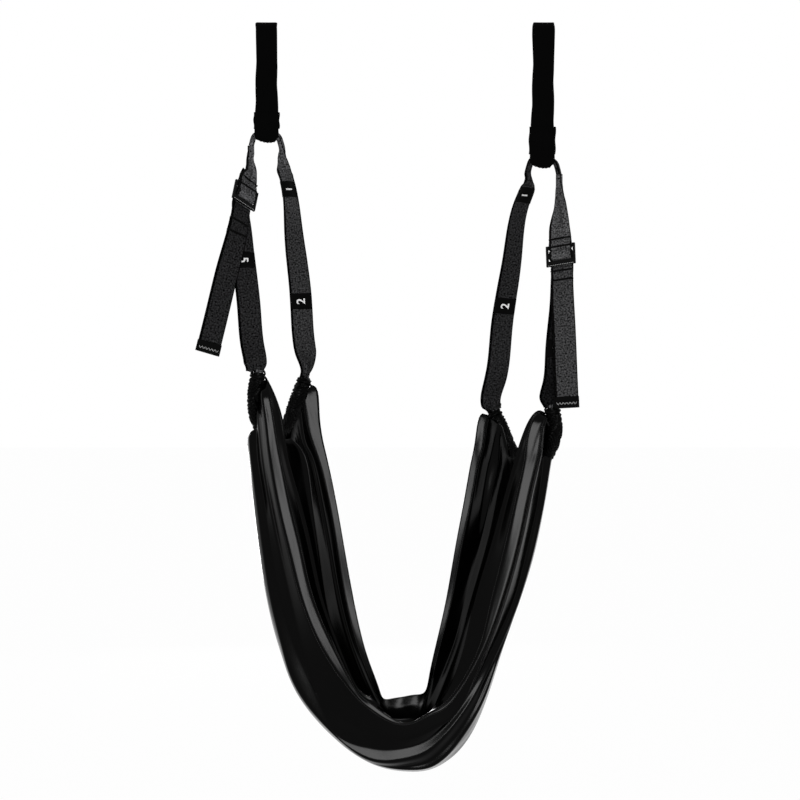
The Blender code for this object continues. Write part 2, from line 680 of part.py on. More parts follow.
def label_on(side, number, points, across, distance, behind=False):
    """A sewn number label on the face of a webbing run, at a distance along it."""
    across, normal = frames(points, across)
    run = run_along(points)
    low, high = distance - LABEL_LENGTH / 2.0, distance + LABEL_LENGTH / 2.0
    stops = np.concatenate([[low], run[(run > low + MM) & (run < high - MM)], [high]])
    centre, sideways, normal = (np.stack([np.interp(stops, run, rows[:, k]) for k in range(3)],
                                         axis=1) for rows in (points, across, normal))
    facing = -1.0 if (normal[0][1] > 0.0) != behind else 1.0
    inner = WEBBING_THICKNESS / 2.0 + TOUCH_GAP
    half = LABEL_WIDTH / 2.0
    rings = [centre + sideways * (half * w) + normal * facing * (inner + LABEL_THICKNESS * t)
             for w, t in ((1.0, 0.0), (1.0, 1.0), (-1.0, 1.0), (-1.0, 0.0))]
    loft(f"{side.name}_label_{number}", np.stack(rings, axis=1), "label", split=True)


def tunnel_line(side):
    """Knots of the line that the webbing follows inside the gathered hem."""
    knots = []
    for share, dip, belly in TUNNEL_LINE:
        point = side.front_mouth + (side.rear_mouth - side.front_mouth) * share
        shift = np.array([side.sign * TUNNEL_BELLY * belly, 0.0, -side.tunnel_dip * dip])
        knots.append(point + shift)
    return np.array(knots)


def tunnel(side):
    """The gathered hem: a ruffled tube of cloth round the bunched webbing."""
    knots = tunnel_line(side)
    places = even_places(knots, TUNNEL_STATIONS)
    inner = spline(knots, places)
    setback = MOUTH_SETBACK / run_along(inner)[-1]
    points = spline(knots, setback + places * (1.0 - 2.0 * setback))
    across, normal = frames(points, np.tile([1.0, 0.0, 0.0], (len(points), 1)))
    angles = np.linspace(0.0, 2.0 * math.pi, TUNNEL_SIDES, endpoint=False)
    share = np.linspace(0.0, 1.0, len(points))
    rows = []
    for i, part in enumerate(share):
        mouth = np.clip(min(part, 1.0 - part) / MOUTH_SHARE, 0.0, 1.0)
        wave = 0.5 + 0.5 * np.cos(2.0 * math.pi * RUFFLES * part + angles)
        radius = TUNNEL_NECK + (TUNNEL_RADIUS - TUNNEL_NECK + RUFFLE_HEIGHT * wave) * mouth
        ring = points[i] + (across[i] * np.cos(angles)[:, None]
                            + normal[i] * np.sin(angles)[:, None]) * radius[:, None]
        rows.append(ring)
    sheet(side.name + "_tunnel", rows, TUNNEL_WALL, "cloth", around=True)
    trim = tangents(inner)
    inner[0] = inner[0] + trim[0] * CORD_TRIM
    inner[-1] = inner[-1] - trim[-1] * CORD_TRIM
    round_cord(side.name + "_tunnel_webbing", inner, BUNCH_RADIUS, "webbing", CORD_SIDES)
    return knots


def tunnel_label(side, number, knots, distance):
    """A number label hidden in the gathers, wrapped on the bunched webbing."""
    fine = np.linspace(0.0, 1.0, LENGTH_STEPS)
    along, around = WRAPPED_STEPS
    reach = np.linspace(distance - LABEL_LENGTH / 2.0, distance + LABEL_LENGTH / 2.0, along)
    points = spline(knots, np.interp(reach, run_along(spline(knots, fine)), fine))
    across, normal = frames(points, np.tile([1.0, 0.0, 0.0], (len(points), 1)))
    angles = np.radians(np.linspace(*WRAPPED_LABEL, around))
    radius = BUNCH_RADIUS + TOUCH_GAP + LABEL_THICKNESS / 2.0
    rows = [points[i] + (across[i] * np.cos(angles)[:, None]
                         + normal[i] * np.sin(angles)[:, None]) * radius
            for i in range(len(points))]
    sheet(f"{side.name}_label_{number}", rows, LABEL_THICKNESS, "label")


def hung_surface(left, right, u, v):
    """Points of the cloth between its guide lines: a chord from hem to hem and a bulge."""
    front = cloth_line(left, right, FRONT_HEM_LINE, -1.0, u)
    belly = cloth_line(left, right, BELLY_LINE, 0.0, u)
    rear = cloth_line(left, right, REAR_HEM_LINE, 1.0, u)
    depth = belly - (front + rear) / 2.0
    bulge = 1.0 - np.abs(2.0 * v - 1.0) ** BULGE_POWER
    chord = front[:, None, :] * (1.0 - v)[None, :, None] + rear[:, None, :] * v[None, :, None]
    return chord + depth[:, None, :] * bulge[None, :, None]


def sling_surface(left, right, u, v):
    """Points of the cloth at u along the sling and v from the front hem to the rear hem.

    From a tunnel to JOIN_SHARE of the way, every line of the cloth leaves the tunnel square to it
    and curves into the hung surface.
    """
    surface = hung_surface(left, right, u, v)
    for side, near, joint, step in ((left, u, JOIN_SHARE, JOIN_STEP),
                                    (right, 1.0 - u, 1.0 - JOIN_SHARE, -JOIN_STEP)):
        ends = hung_surface(left, right, np.array([joint, joint + step]), v)
        heading = (ends[1] - ends[0]) * (JOIN_SHARE / JOIN_STEP)
        edge, away = tunnel_edge(side, v)
        rows = near < JOIN_SHARE
        t = (near[rows] / JOIN_SHARE)[:, None, None]
        surface[rows] = (edge * (1.0 + 2.0 * t) * (1.0 - t) ** 2
                         + away * JOIN_REACH * t * (1.0 - t) ** 2
                         + ends[0] * t * t * (3.0 - 2.0 * t) + heading * t * t * (t - 1.0))
    return surface


def tunnel_edge(side, v):
    """The cloth's gathered end beside the tunnel, and the directions in which it leaves."""
    line = spline(tunnel_line(side), np.interp(v, [0.0, 1.0], [EDGE_TRIM, 1.0 - EDGE_TRIM]))
    along = tangents(line)
    inward = EDGE_INWARD - EDGE_OUTWARD * np.sin(math.pi * v)
    pull = np.stack([-side.sign * inward, np.zeros(len(v)), np.full(len(v), -1.0)], axis=1)
    away = unit(pull - np.sum(along * pull, axis=1, keepdims=True) * along)
    offset = TUNNEL_RADIUS + RUFFLE_HEIGHT + TUNNEL_WALL / 2.0 + EDGE_GAP
    return line + away * offset, away


def cloth_line(left, right, shares, fore, u):
    """One guide line of the cloth, read at u: fore is -1 at the front hem and 1 at the rear."""
    half_span = (right.front_mouth[0] - left.front_mouth[0]) / 2.0
    middle = (right.front_mouth[0] + left.front_mouth[0]) / 2.0
    knots = []
    for across, down in shares:
        level = (left.front_mouth[2] * (1.0 - across) + right.front_mouth[2] * (1.0 + across)) / 2.0
        spread = MOUTH_SPACING + (SEAT_LENGTH - MOUTH_SPACING) * down
        lag = -BELLY_LAG * (1.0 - down) if fore == 0.0 else 0.0
        knots.append((middle + half_span * across, fore * spread / 2.0 + lag,
                      level - SLING_DROP * down))
    return spline(knots, np.interp(u, np.linspace(0.0, 1.0, LINE_STEPS), line_places(knots)))


def line_places(knots):
    """Chord places of a line at steps spread evenly between its own knots."""
    run = run_along(np.asarray(knots))
    even = np.linspace(0.0, 1.0, len(knots))
    return np.interp(np.linspace(0.0, 1.0, LINE_STEPS), even, run / run[-1])


def surface_normals(grid):
    """Unit normals of a grid of points, towards the outside of the sling."""
    du = np.gradient(grid, axis=0)
    dv = np.gradient(grid, axis=1)
    normal = unit(np.cross(du, dv))
    if normal[len(normal) // 2, normal.shape[1] // 2, 2] > 0.0:
        normal = -normal
    return normal


def fold_height(u, w):
    """Main folds along the sling: deepest under the tunnels and shallow in the seat."""
    ends = np.clip(np.minimum(u, 1.0 - u) / FOLD_START, 0.0, 1.0)
    ends = ends * ends * (3.0 - 2.0 * ends)
    seat = 1.0 - SEAT_SMOOTHING * np.exp(-((u - 0.5) / SEAT_SPREAD) ** 2)
    hems = np.clip(np.minimum(w, 1.0 - w) / FOLD_FADE, 0.0, 1.0)
    wave = np.cos(2.0 * math.pi * FOLDS * w + FOLD_DRIFT * np.sin(math.pi * u[:, None]))
    return FOLD_DEPTH * (ends * seat)[:, None] * hems[None, :] * wave


def even_columns(fine, columns):
    """Share each row's true width among the columns, the first and the last one hem wide."""
    rows = []
    for line in fine:
        run = run_along(line)
        inner = np.linspace(HEM_WIDTH, run[-1] - HEM_WIDTH, columns - 2)
        stops = np.concatenate([[0.0], inner, [run[-1]]])
        rows.append(np.stack([np.interp(stops, run, line[:, k]) for k in range(3)], axis=1))
    return np.array(rows)


def sling(left, right):
    """The cloth with its main folds, and the folded hem along each long edge."""
    u = np.linspace(0.0, 1.0, CLOTH_ROWS)
    fine = sling_surface(left, right, u, np.linspace(0.0, 1.0, FINE_STEPS))
    base = even_columns(fine, CLOTH_COLUMNS)
    w = np.clip((np.arange(CLOTH_COLUMNS) - 1.0) / (CLOTH_COLUMNS - 3.0), 0.0, 1.0)
    cloth = base + surface_normals(base) * fold_height(u, w)[:, :, None]
    sheet("sling_panel", cloth, CLOTH_THICKNESS, "cloth")
    hem("front_hem", cloth[:, 0], cloth[:, 1])
    hem("rear_hem", cloth[:, -1], cloth[:, -2])


def hem(name, edge, inner):
    """A folded hem on the outer face of the cloth, along one of its long edges."""
    across = inner - edge
    normal = unit(np.cross(tangents(edge), across))
    outward = normal if normal[len(normal) // 2, 2] < 0.0 else -normal
    lift = outward * ((CLOTH_THICKNESS + HEM_THICKNESS) / 2.0 + HEM_LIFT)
    rows = [edge + across * HEM_INSET + lift, edge + across * (1.0 - HEM_INSET) + lift]
    if name.startswith("rear"):
        rows.reverse()
    sheet(name, np.stack(rows, axis=1), HEM_THICKNESS, "cloth")


def build():
    """Make every piece of the sling."""
    left, right = Side("left"), Side("right")
    for side in (left, right):
        hanger(side)
        saddle(side)
        leg_points, leg_across = rear_leg(side)
        first = side.first_label - SADDLE_DEPTH
        label_on(side, 1, leg_points, leg_across, first)
        label_on(side, 2, leg_points, leg_across, first + LABEL_PITCH)
        front_points, front_across = front_leg(side)
        label_on(side, 5, front_points, front_across, side.fifth_label)
        upper_strap(side)
        slider(side)
        bar_wrap(side)
        tail_points, tail_across = tail(side)
        label_on(side, 6, tail_points, tail_across, side.sixth_label, behind=True)
        knots = tunnel(side)
        tunnel_label(side, 3, knots, side.third_label)
        tunnel_label(side, 4, knots, side.third_label - LABEL_PITCH)
    sling(left, right)


clear_scene()
PARTS = new_collection("back_bend_sling")
CUTTERS = new_collection("cutters")
build()
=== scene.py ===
"""Back-bend sling, dressed: webbing, hangers, sliders, labels and the gathered satin cloth.

Metres, +Z up, +X right, front towards -Y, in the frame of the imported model. Every piece is a
surface on a grid of points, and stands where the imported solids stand.
"""

import json
import logging
import math
from dataclasses import dataclass
from enum import Enum

import bpy
import numpy as np
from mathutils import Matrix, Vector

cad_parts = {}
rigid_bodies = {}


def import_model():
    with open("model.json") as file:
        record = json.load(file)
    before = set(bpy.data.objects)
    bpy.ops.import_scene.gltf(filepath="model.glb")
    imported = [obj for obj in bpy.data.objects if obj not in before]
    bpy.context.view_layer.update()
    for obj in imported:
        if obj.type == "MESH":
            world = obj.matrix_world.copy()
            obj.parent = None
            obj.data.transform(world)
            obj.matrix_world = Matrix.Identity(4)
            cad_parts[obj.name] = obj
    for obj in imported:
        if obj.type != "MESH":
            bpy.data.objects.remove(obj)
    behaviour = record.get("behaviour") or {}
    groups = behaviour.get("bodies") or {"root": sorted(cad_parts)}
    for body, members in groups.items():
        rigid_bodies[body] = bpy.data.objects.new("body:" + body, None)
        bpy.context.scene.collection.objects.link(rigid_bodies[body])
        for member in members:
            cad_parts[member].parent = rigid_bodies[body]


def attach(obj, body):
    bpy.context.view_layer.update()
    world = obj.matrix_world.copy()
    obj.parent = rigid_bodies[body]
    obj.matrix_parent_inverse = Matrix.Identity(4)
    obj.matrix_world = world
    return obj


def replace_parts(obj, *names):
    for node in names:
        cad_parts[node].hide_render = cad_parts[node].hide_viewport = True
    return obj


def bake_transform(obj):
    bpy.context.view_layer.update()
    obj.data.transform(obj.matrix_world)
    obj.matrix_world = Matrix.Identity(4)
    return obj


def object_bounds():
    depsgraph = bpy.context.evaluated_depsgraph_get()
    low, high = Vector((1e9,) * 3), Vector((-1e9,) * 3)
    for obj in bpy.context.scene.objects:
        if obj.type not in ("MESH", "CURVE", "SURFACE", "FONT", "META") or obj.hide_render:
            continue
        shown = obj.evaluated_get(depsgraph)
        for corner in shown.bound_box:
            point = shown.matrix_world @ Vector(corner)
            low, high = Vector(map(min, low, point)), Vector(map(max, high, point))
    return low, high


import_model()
CAD_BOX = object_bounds()

MM = 0.001
FULL_TURN = 2.0 * math.pi
X_AXIS = (1.0, 0.0, 0.0)

# Places at which the length of a spline is measured
FINE_PLACES = 600

# The photograph's view: a pixel's size at the bar's plane, the middle pixel, the camera's
# distance, the X and Z that it looks at, and the sensor's width in millimetres
PIXEL = 0.00165
IMAGE_MIDDLE = 400.0
VIEW_DISTANCE = 3.0
VIEW_CENTRE = (-0.00825, -0.60555)
VIEW_WIDTH = 2.0 * IMAGE_MIDDLE * PIXEL
SENSOR = 36.0

# Steps that a fold line takes down one side of the cloth and up the other
LAST_STATION = 18.0

# Driving sizes, the same as the solids'
ANCHOR_SPACING = 0.457
MOUTH_SPACING = 0.190
MOUTH_OUTSET = 0.005
REAR_MOUTH_DROP = 0.009
WEBBING_WIDTH = 0.038
WEBBING_THICKNESS = 0.0016
TOUCH_GAP = 0.0003
BUNCH_RADIUS = 0.006
LEG_STANDOFF = 0.0255
SADDLE_DEPTH = 0.020
SLIDER_THICKNESS = 0.004
MIDDLE_BAR = 0.009
UPPER_SLOT = 0.007
LOWER_SLOT = 0.0045
TOP_BAR = 0.006
BOTTOM_BAR = 0.009
SEAM_HEIGHT = 0.008
TAIL_GAP = 0.0012
TUNNEL_BELLY = 0.021
LABEL_SIZE = (0.0376, 0.027)
LABEL_PITCH = 0.190
PLY_DEPTH = SLIDER_THICKNESS / 2.0 + TOUCH_GAP + WEBBING_THICKNESS / 2.0
LEG_DEPTH = PLY_DEPTH + TOUCH_GAP + WEBBING_THICKNESS
PLY_PITCH = WEBBING_THICKNESS + TOUCH_GAP
SLOT_TOP = MIDDLE_BAR / 2.0 + UPPER_SLOT
SLIDER_TOP = SLOT_TOP + TOP_BAR
SLIDER_FOOT = -MIDDLE_BAR / 2.0 - LOWER_SLOT - BOTTOM_BAR

# The line inside a gathered hem: share of the way from the front mouth to the rear, dip, belly
TUNNEL_LINE = ((0.0, 0.0, 0.0), (0.05, 0.41, 0.45), (0.21, 0.80, 0.90), (0.5, 1.0, 1.0),
               (0.74, 0.93, 0.78), (0.92, 0.56, 0.67), (1.0, 0.0, 0.0))


class Body(str, Enum):
    """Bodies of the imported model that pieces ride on."""

    HANGERS = "hangers"
    SLING = "sling"
    LEFT_ADJUSTER = "left_adjuster"
    RIGHT_ADJUSTER = "right_adjuster"
    LEFT_END = "left_free_end"
    RIGHT_END = "right_free_end"


class Slot(str, Enum):
    """Material slots of the record."""

    HANGER = "hanger_strap"
    WEBBING = "webbing"
    LABEL = "label_tape"
    METAL = "slider_metal"
    CLOTH = "cloth"


class Weave(Enum):
    """Surface structures that a finish can carry."""

    HERRINGBONE = "herringbone"
    RIB = "rib"
    SATIN = "satin"
    TAPE = "tape"
    CAST = "cast"


def linear(code: str) -> tuple[float, float, float, float]:
    """Turn an sRGB hex code into a linear colour: ((v + 0.055) / 1.055) to the power 2.4.

    Args:
        code: six hex digits.

    Returns:
        Red, green, blue and alpha, linear.
    """
    values = [int(code[i:i + 2], 16) / 255.0 for i in (0, 2, 4)]
    return tuple([v / 12.92 if v <= 0.04045 else ((v + 0.055) / 1.055) ** 2.4 for v in values]
                 + [1.0])


@dataclass(frozen=True)
class Finish:
    """One material: its colours, gloss and woven structure, patterned in real metres.

    Colour is that of the raised threads and edge_colour that between them; on webbing, edge_colour
    also fills painted shade strips along both borders. Pitch is the length of one wave of the weave
    and depth its height. The last field is a painted sheen: how many times brighter a webbing is
    drawn at its start than 1 / WEAR_FADE metres along.
    """

    name: str
    colour: str
    edge_colour: str
    roughness: float
    specular: float
    weave: Weave
    pitch: float
    depth: float
    # Painted sheen: how many times brighter the webbing's start is drawn
    worn: float = 1.0

    # Turns of the noises in a metre, the tones that they give, and the webbing's own measures: how
    # fast its painted sheen fades, its zigzag, and the widths of its painted shade strips at both
    # borders
    CLOUD_SCALE = 45.0
    CLOUD_TONES = (0.82, 1.14)
    FIBRE_SCALE = 900.0
    FIBRE_DEPTH = 0.35
    GRAIN_SCALE = 360.0
    GRAIN_TONES = (-1.4, 3.3)
    WEAR_FADE = 4.5
    ZIGZAG = 0.0032
    LEFT_BORDER = 0.0042
    RIGHT_BORDER = 0.0014

    def material(self) -> bpy.types.Material:
        """Build the node material, once.

        The tone goes from edge_colour to colour with the weave's height, times a broad noise. On
        webbing it is also times a painted sheen at the strap's start and a grain, and the gloss
        follows grain and weave; the painted shade strips along both borders take edge_colour and
        little gloss.

        Returns:
            The material named for what it is.
        """
        known = bpy.data.materials.get(self.name)
        if known:
            return known
        made = bpy.data.materials.new(self.name)
        made.use_nodes = True
        tree = Tree(made.node_tree)
        shader = made.node_tree.nodes["Principled BSDF"]
        shader.inputs["Roughness"].default_value = self.roughness
        shader.inputs["Specular IOR Level"].default_value = self.specular
        place = tree.attribute("metres")
        cloudy = tree.noise(place, self.CLOUD_SCALE, 3.0)
        fine = tree.noise(place, self.FIBRE_SCALE, 2.0)
        pattern = self.pattern(tree, place)
        tone = tree.mix(linear(self.edge_colour), linear(self.colour), pattern)
        tone = tree.shade(tone, tree.span(cloudy, *self.CLOUD_TONES))
        if self.weave is Weave.HERRINGBONE:
            along = tree.split(place)[1]
            # Painted sheen: the strap's start drawn brighter, fading along its length
            sheen_gain = tree.span(tree.math("MULTIPLY", along, self.WEAR_FADE), self.worn, 1.0)
            grain = tree.span(tree.noise(place, self.GRAIN_SCALE, 1.0), *self.GRAIN_TONES)
            tone = tree.shade(tree.shade(tone, sheen_gain), grain)
            gloss = tree.math("MULTIPLY", tree.math("MULTIPLY", grain, pattern), self.specular)
            tree.link(gloss, shader.inputs["Specular IOR Level"])
        tree.link(tone, shader.inputs["Base Color"])
        fibres = tree.bump(fine, self.depth * self.FIBRE_DEPTH)
        tree.link(tree.bump(pattern, self.depth, fibres), shader.inputs["Normal"])
        return made

    def pattern(self, tree: "Tree", place: bpy.types.NodeSocket) -> bpy.types.NodeSocket:
        """The woven structure as a height from 0 to 1.

        Herringbone is a wave along the strap, shifted by a zigzag across it, low in painted shade
        strips at both borders.
        Rib and tape are a wave along times a wave across, satin is one slanting wave, and cast
        metal and crumpled cloth are a noise.

        Args:
            tree: the node helper.
            place: across, along and depth in metres.

        Returns:
            The height socket.
        """
        across, along, _ = tree.split(place)
        turn = FULL_TURN / self.pitch
        if self.weave is Weave.HERRINGBONE:
            zigzag = tree.math("PINGPONG", across, self.ZIGZAG)
            rib = tree.wave(tree.math("ADD", along, zigzag), turn)
            # Painted shade: dark strips drawn along both borders of the webbing
            inside = tree.band(across, self.LEFT_BORDER, WEBBING_WIDTH - self.RIGHT_BORDER)
            return tree.math("MULTIPLY", tree.span(rib, 0.55, 1.0), tree.span(inside, 0.04, 1.0))
        if self.weave is Weave.RIB:
            return tree.math("MULTIPLY", tree.span(tree.wave(along, turn), 0.5, 1.0),
                             tree.span(tree.wave(across, turn * 0.6), 0.7, 1.0))
        if self.weave is Weave.TAPE:
            return tree.math("MULTIPLY", tree.span(tree.wave(along, turn), 0.8, 1.0),
                             tree.span(tree.wave(across, turn), 0.8, 1.0))
        if self.weave is Weave.SATIN:
            return tree.span(tree.wave(tree.math("ADD", across, along), turn), 0.85, 1.0)
        return tree.span(tree.noise(place, 1.0 / self.pitch, 4.0), 0.7, 1.0)


class Tree:
    """Short calls that add shader nodes to one node tree."""

    def __init__(self, tree: bpy.types.NodeTree) -> None:
        """Keep the tree's nodes and links."""
        self.nodes = tree.nodes
        self.links = tree.links

    def link(self, source: bpy.types.NodeSocket, target: bpy.types.NodeSocket) -> None:
        """Join an output to an input."""
        self.links.new(source, target)

    def add(self, kind: str, inputs: dict, output: "int | str" = 0,
            **settings: str) -> bpy.types.NodeSocket:
        """Add a node, choose its options, and join or set its inputs.

        Args:
            kind: the node's type.
            inputs: a socket or a value for each input, by name or number; None leaves it alone.
            output: the output to give, by name or number.
            settings: the node's own options.

        Returns:
            The output socket.
        """
        node = self.nodes.new(kind)
        for name, value in settings.items():
            setattr(node, name, value)
        for name, value in inputs.items():
            if isinstance(value, bpy.types.NodeSocket):
                self.link(value, node.inputs[name])
            elif value is not None:
                node.inputs[name].default_value = value
        return node.outputs[output]

    def attribute(self, name: str) -> bpy.types.NodeSocket:
        """Read a piece's own coordinates."""
        return self.add("ShaderNodeAttribute", {}, "Vector", attribute_name=name)

    def split(self, source: bpy.types.NodeSocket) -> list[bpy.types.NodeSocket]:
        """Split a vector into its three parts."""
        return list(self.add("ShaderNodeSeparateXYZ", {0: source}).node.outputs)

    def noise(self, place: bpy.types.NodeSocket, scale: float,
              detail: float) -> bpy.types.NodeSocket:
        """Cloudy noise from 0 to 1, scale in turns for each metre."""
        return self.add("ShaderNodeTexNoise", {"Vector": place, "Scale": scale, "Detail": detail})

    def math(self, kind: str, first: bpy.types.NodeSocket,
             second: "bpy.types.NodeSocket | float") -> bpy.types.NodeSocket:
        """One sum on two values."""
        return self.add("ShaderNodeMath", {0: first, 1: second}, operation=kind)

    def wave(self, source: bpy.types.NodeSocket, turn: float) -> bpy.types.NodeSocket:
        """Half plus half the sine of the value times turn."""
        sine = self.math("SINE", self.math("MULTIPLY", source, turn), 0.0)
        return self.math("ADD", self.math("MULTIPLY", sine, 0.5), 0.5)

    def span(self, source: bpy.types.NodeSocket, low: float,
             high: float) -> bpy.types.NodeSocket:
        """Stretch 0 to 1 over low to high."""
        return self.add("ShaderNodeMapRange", {"Value": source, "To Min": low, "To Max": high})

    def band(self, source: bpy.types.NodeSocket, low: float,
             high: float) -> bpy.types.NodeSocket:
        """One between low and high, nought outside."""
        return self.math("MULTIPLY", self.math("GREATER_THAN", source, low),
                         self.math("LESS_THAN", source, high))

    def mix(self, low: tuple, high: tuple,
            share: bpy.types.NodeSocket) -> bpy.types.NodeSocket:
        """Mix two colours by a share."""
        return self.add("ShaderNodeMix", {"Factor": share, 6: low, 7: high}, 2, data_type="RGBA")

    def shade(self, colour: bpy.types.NodeSocket,
              share: bpy.types.NodeSocket) -> bpy.types.NodeSocket:
        """Scale a colour by a value."""
        return self.add("ShaderNodeVectorMath", {0: colour, "Scale": share}, operation="SCALE")

    def bump(self, height: bpy.types.NodeSocket, depth: float,
             under: "bpy.types.NodeSocket | None" = None) -> bpy.types.NodeSocket:
        """Raise the surface by a height times depth in metres, on another bump where given."""
        return self.add("ShaderNodeBump", {"Height": height, "Distance": depth, "Normal": under})


def webbing(name: str, colour: str, edge_colour: str, specular: float,
            worn: float = 1.0) -> Finish:
    """A finish of the herringbone webbing."""
    return Finish(name, colour, edge_colour, 0.58, specular, Weave.HERRINGBONE, 0.0016, 0.00022,
                  worn)


def thread(name: str, colour: str, edge_colour: str, specular: float) -> Finish:
    """A finish of plain thread or tape."""
    return Finish(name, colour, edge_colour, 0.8, specular, Weave.TAPE, 0.0006, 0.00005)


# Lit and shaded copies of one webbing, toned for how light falls on each strap
WEBBING = webbing("woven webbing", "323233", "030303", 0.12, worn=3.8)
SHADED_RIGHT_WEBBING = webbing("woven webbing, right side", "202021", "030303", 0.10, worn=1.3)
LIT_RIGHT_STRAP = webbing("woven webbing, right strap", "505051", "080808", 0.14, worn=1.2)
SHADED_LOAD_LEG = webbing("woven webbing, load leg", "060607", "020202", 0.06)
SHADED_LEFT_WEBBING = webbing("woven webbing, left end", "1B1B1C", "030303", 0.10)
LIT_RIGHT_TAIL = webbing("woven webbing, right end", "404041", "060606", 0.12)
LABEL_TAPE = thread("printed label tape", "020202", "010101", 0.04)
DARK_THREAD = thread("dark stitching thread", "020202", "010101", 0.05)
# Grey thread: a painted highlight on the hem's black stitching
HIGHLIT_HEM_THREAD = thread("hem stitching thread", "4C4C4C", "2A2A2A", 0.1)
PALE_THREAD = thread("worn stitching thread", "B4B4B4", "6A6A6A", 0.2)
PRINT = Finish("white print", "F2F2F2", "DADADA", 0.7, 0.2, Weave.TAPE, 0.0006, 0.00003)
HANGER_STRAP = Finish("black hanger strap", "030303", "010101", 0.9, 0.03, Weave.RIB, 0.0018,
                      0.0002)
BLACK_METAL = Finish("black coated metal", "050505", "030303", 0.42, 0.06, Weave.CAST, 0.0009,
                     0.00005)
# Pale teeth: a painted glint on the slider's serrated bottom bar
GLINT_TEETH = Finish("worn metal teeth", "C8C8C8", "6A6A6A", 0.5, 0.5, Weave.CAST, 0.0009, 0.00004)
SATIN_CLOTH = Finish("black satin knit", "010101", "010101", 0.17, 0.052, Weave.SATIN, 0.0007,
                     0.00002)
GATHERED_CLOTH = Finish("gathered satin knit", "010101", "010101", 0.35, 0.03, Weave.CAST, 0.0015,
                        0.00012)


def unit(vectors: np.ndarray) -> np.ndarray:
    """Scale one vector or rows of vectors to length one."""
    vectors = np.asarray(vectors, dtype=float)
    return vectors / np.maximum(np.linalg.norm(vectors, axis=-1, keepdims=True), 1e-12)


def cubic(stations: np.ndarray, knots: np.ndarray, places: np.ndarray) -> np.ndarray:
    """Natural cubic spline: on each span b*k0 + a*k1 + h*h/6*((b^3 - b)*m0 + (a^3 - a)*m1).

    There a is the share of the span that is passed, b the rest, h the span, k the knots and m the
    bends, which one set of equations gives for all knots at once.

    Args:
        stations: rising parameter of each knot.
        knots: rows of values.
        places: parameters to read.

    Returns:
        The values at places.
    """
    knots = np.asarray(knots, dtype=float)
    span = np.diff(stations)
    count = len(stations)
    system = np.eye(count)
    inner = np.arange(1, count - 1)
    system[inner, inner - 1] = span[:-1]
    system[inner, inner] = 2.0 * (span[:-1] + span[1:])
    system[inner, inner + 1] = span[1:]
    slope = np.diff(knots, axis=0) / span[:, None]
    target = np.zeros_like(knots)
    target[1:-1] = 6.0 * np.diff(slope, axis=0)
    bend = np.linalg.solve(system, target)
    left = np.clip(np.searchsorted(stations, places, side="right") - 1, 0, count - 2)
    after = ((places - stations[left]) / span[left])[:, None]
    before = 1.0 - after
    square = (span[left] ** 2 / 6.0)[:, None]
    return (before * knots[left] + after * knots[left + 1]
            + square * ((before ** 3 - before) * bend[left] + (after ** 3 - after) * bend[left + 1]))


def run_along(points: np.ndarray) -> np.ndarray:
    """Length run at each point of a line."""
    return np.concatenate([[0.0], np.cumsum(np.linalg.norm(np.diff(points, axis=0), axis=1))])


def run_at(points: np.ndarray, spot: np.ndarray) -> float:
    """Length run along a line where it passes nearest to a spot."""
    return run_along(points)[np.argmin(np.linalg.norm(points - spot, axis=1))]


def spline(knots: np.ndarray, places: np.ndarray) -> np.ndarray:
    """Read a cubic spline through knots, whose parameter is the share of the chord length.

    Args:
        knots: points to pass through.
        places: shares from 0 to 1.

    Returns:
        The points at places.
    """
    knots = np.asarray(knots, dtype=float)
    run = run_along(knots)
    return cubic(run / run[-1], knots, np.clip(np.asarray(places, dtype=float), 0.0, 1.0))


def even_places(knots: np.ndarray, count: int) -> np.ndarray:
    """Places along a spline that lie evenly in true length.

    Args:
        knots: points that the spline passes through.
        count: how many places.

    Returns:
        Shares of the chord length from 0 to 1.
    """
    fine = np.linspace(0.0, 1.0, FINE_PLACES)
    run = run_along(spline(knots, fine))
    return np.interp(np.linspace(0.0, run[-1], count), run, fine)


def even_line(knots: np.ndarray, count: int) -> np.ndarray:
    """Points of a spline through knots, evenly in true length."""
    return spline(knots, even_places(knots, count))


def read_rows(places: np.ndarray, stations: np.ndarray, rows: np.ndarray) -> np.ndarray:
    """Read rows of values in a straight line between their stations.

    Args:
        places: where to read.
        stations: rising place of each row.
        rows: the values, one row for each station.

    Returns:
        One row of values for each place.
    """
    return np.stack([np.interp(places, stations, column) for column in np.transpose(rows)],
                    axis=1)


def tangents(points: np.ndarray) -> np.ndarray:
    """Unit directions along a line of points."""
    return unit(np.gradient(np.asarray(points), axis=0))


def frames(points: np.ndarray, across: np.ndarray) -> tuple[np.ndarray, np.ndarray]:
    """Square the across vectors to a line: across less its share along the line.

    Args:
        points: the line.
        across: one direction, or one at each point.

    Returns:
        Unit vectors across the line and normal to both, at each point.
    """
    along = tangents(points)
    across = np.broadcast_to(np.asarray(across, dtype=float), along.shape)
    across = unit(across - np.sum(across * along, axis=1, keepdims=True) * along)
    return across, np.cross(along, across)


def smooth_step(share: np.ndarray) -> np.ndarray:
    """3x^2 - 2x^3, held to 0 and 1 outside."""
    share = np.clip(share, 0.0, 1.0)
    return share * share * (3.0 - 2.0 * share)


@dataclass
class Patch:
    """A grid of points and its own coordinates in metres."""

    points: np.ndarray
    place: np.ndarray
    around: bool = False

    def quads(self, first: int) -> np.ndarray:
        """Corner numbers of each face, row (i, j) to (i + 1, j + 1).

        Args:
            first: number of the patch's first point.

        Returns:
            One row of four corners for each face.
        """
        rows, columns = self.points.shape[:2]
        i, j = np.meshgrid(np.arange(rows - 1), np.arange(columns if self.around else columns - 1),
                           indexing="ij")
        k = (j + 1) % columns
        corners = [i * columns + j, i * columns + k, (i + 1) * columns + k, (i + 1) * columns + j]
        return np.stack(corners, axis=-1).reshape(-1, 4) + first


def keep_places(mesh: bpy.types.Mesh, place: np.ndarray) -> None:
    """Give a mesh its own coordinates, which the finishes read."""
    layer = mesh.attributes.new("metres", "FLOAT_VECTOR", "POINT")
    layer.data.foreach_set("vector", place.astype(np.float32).ravel())


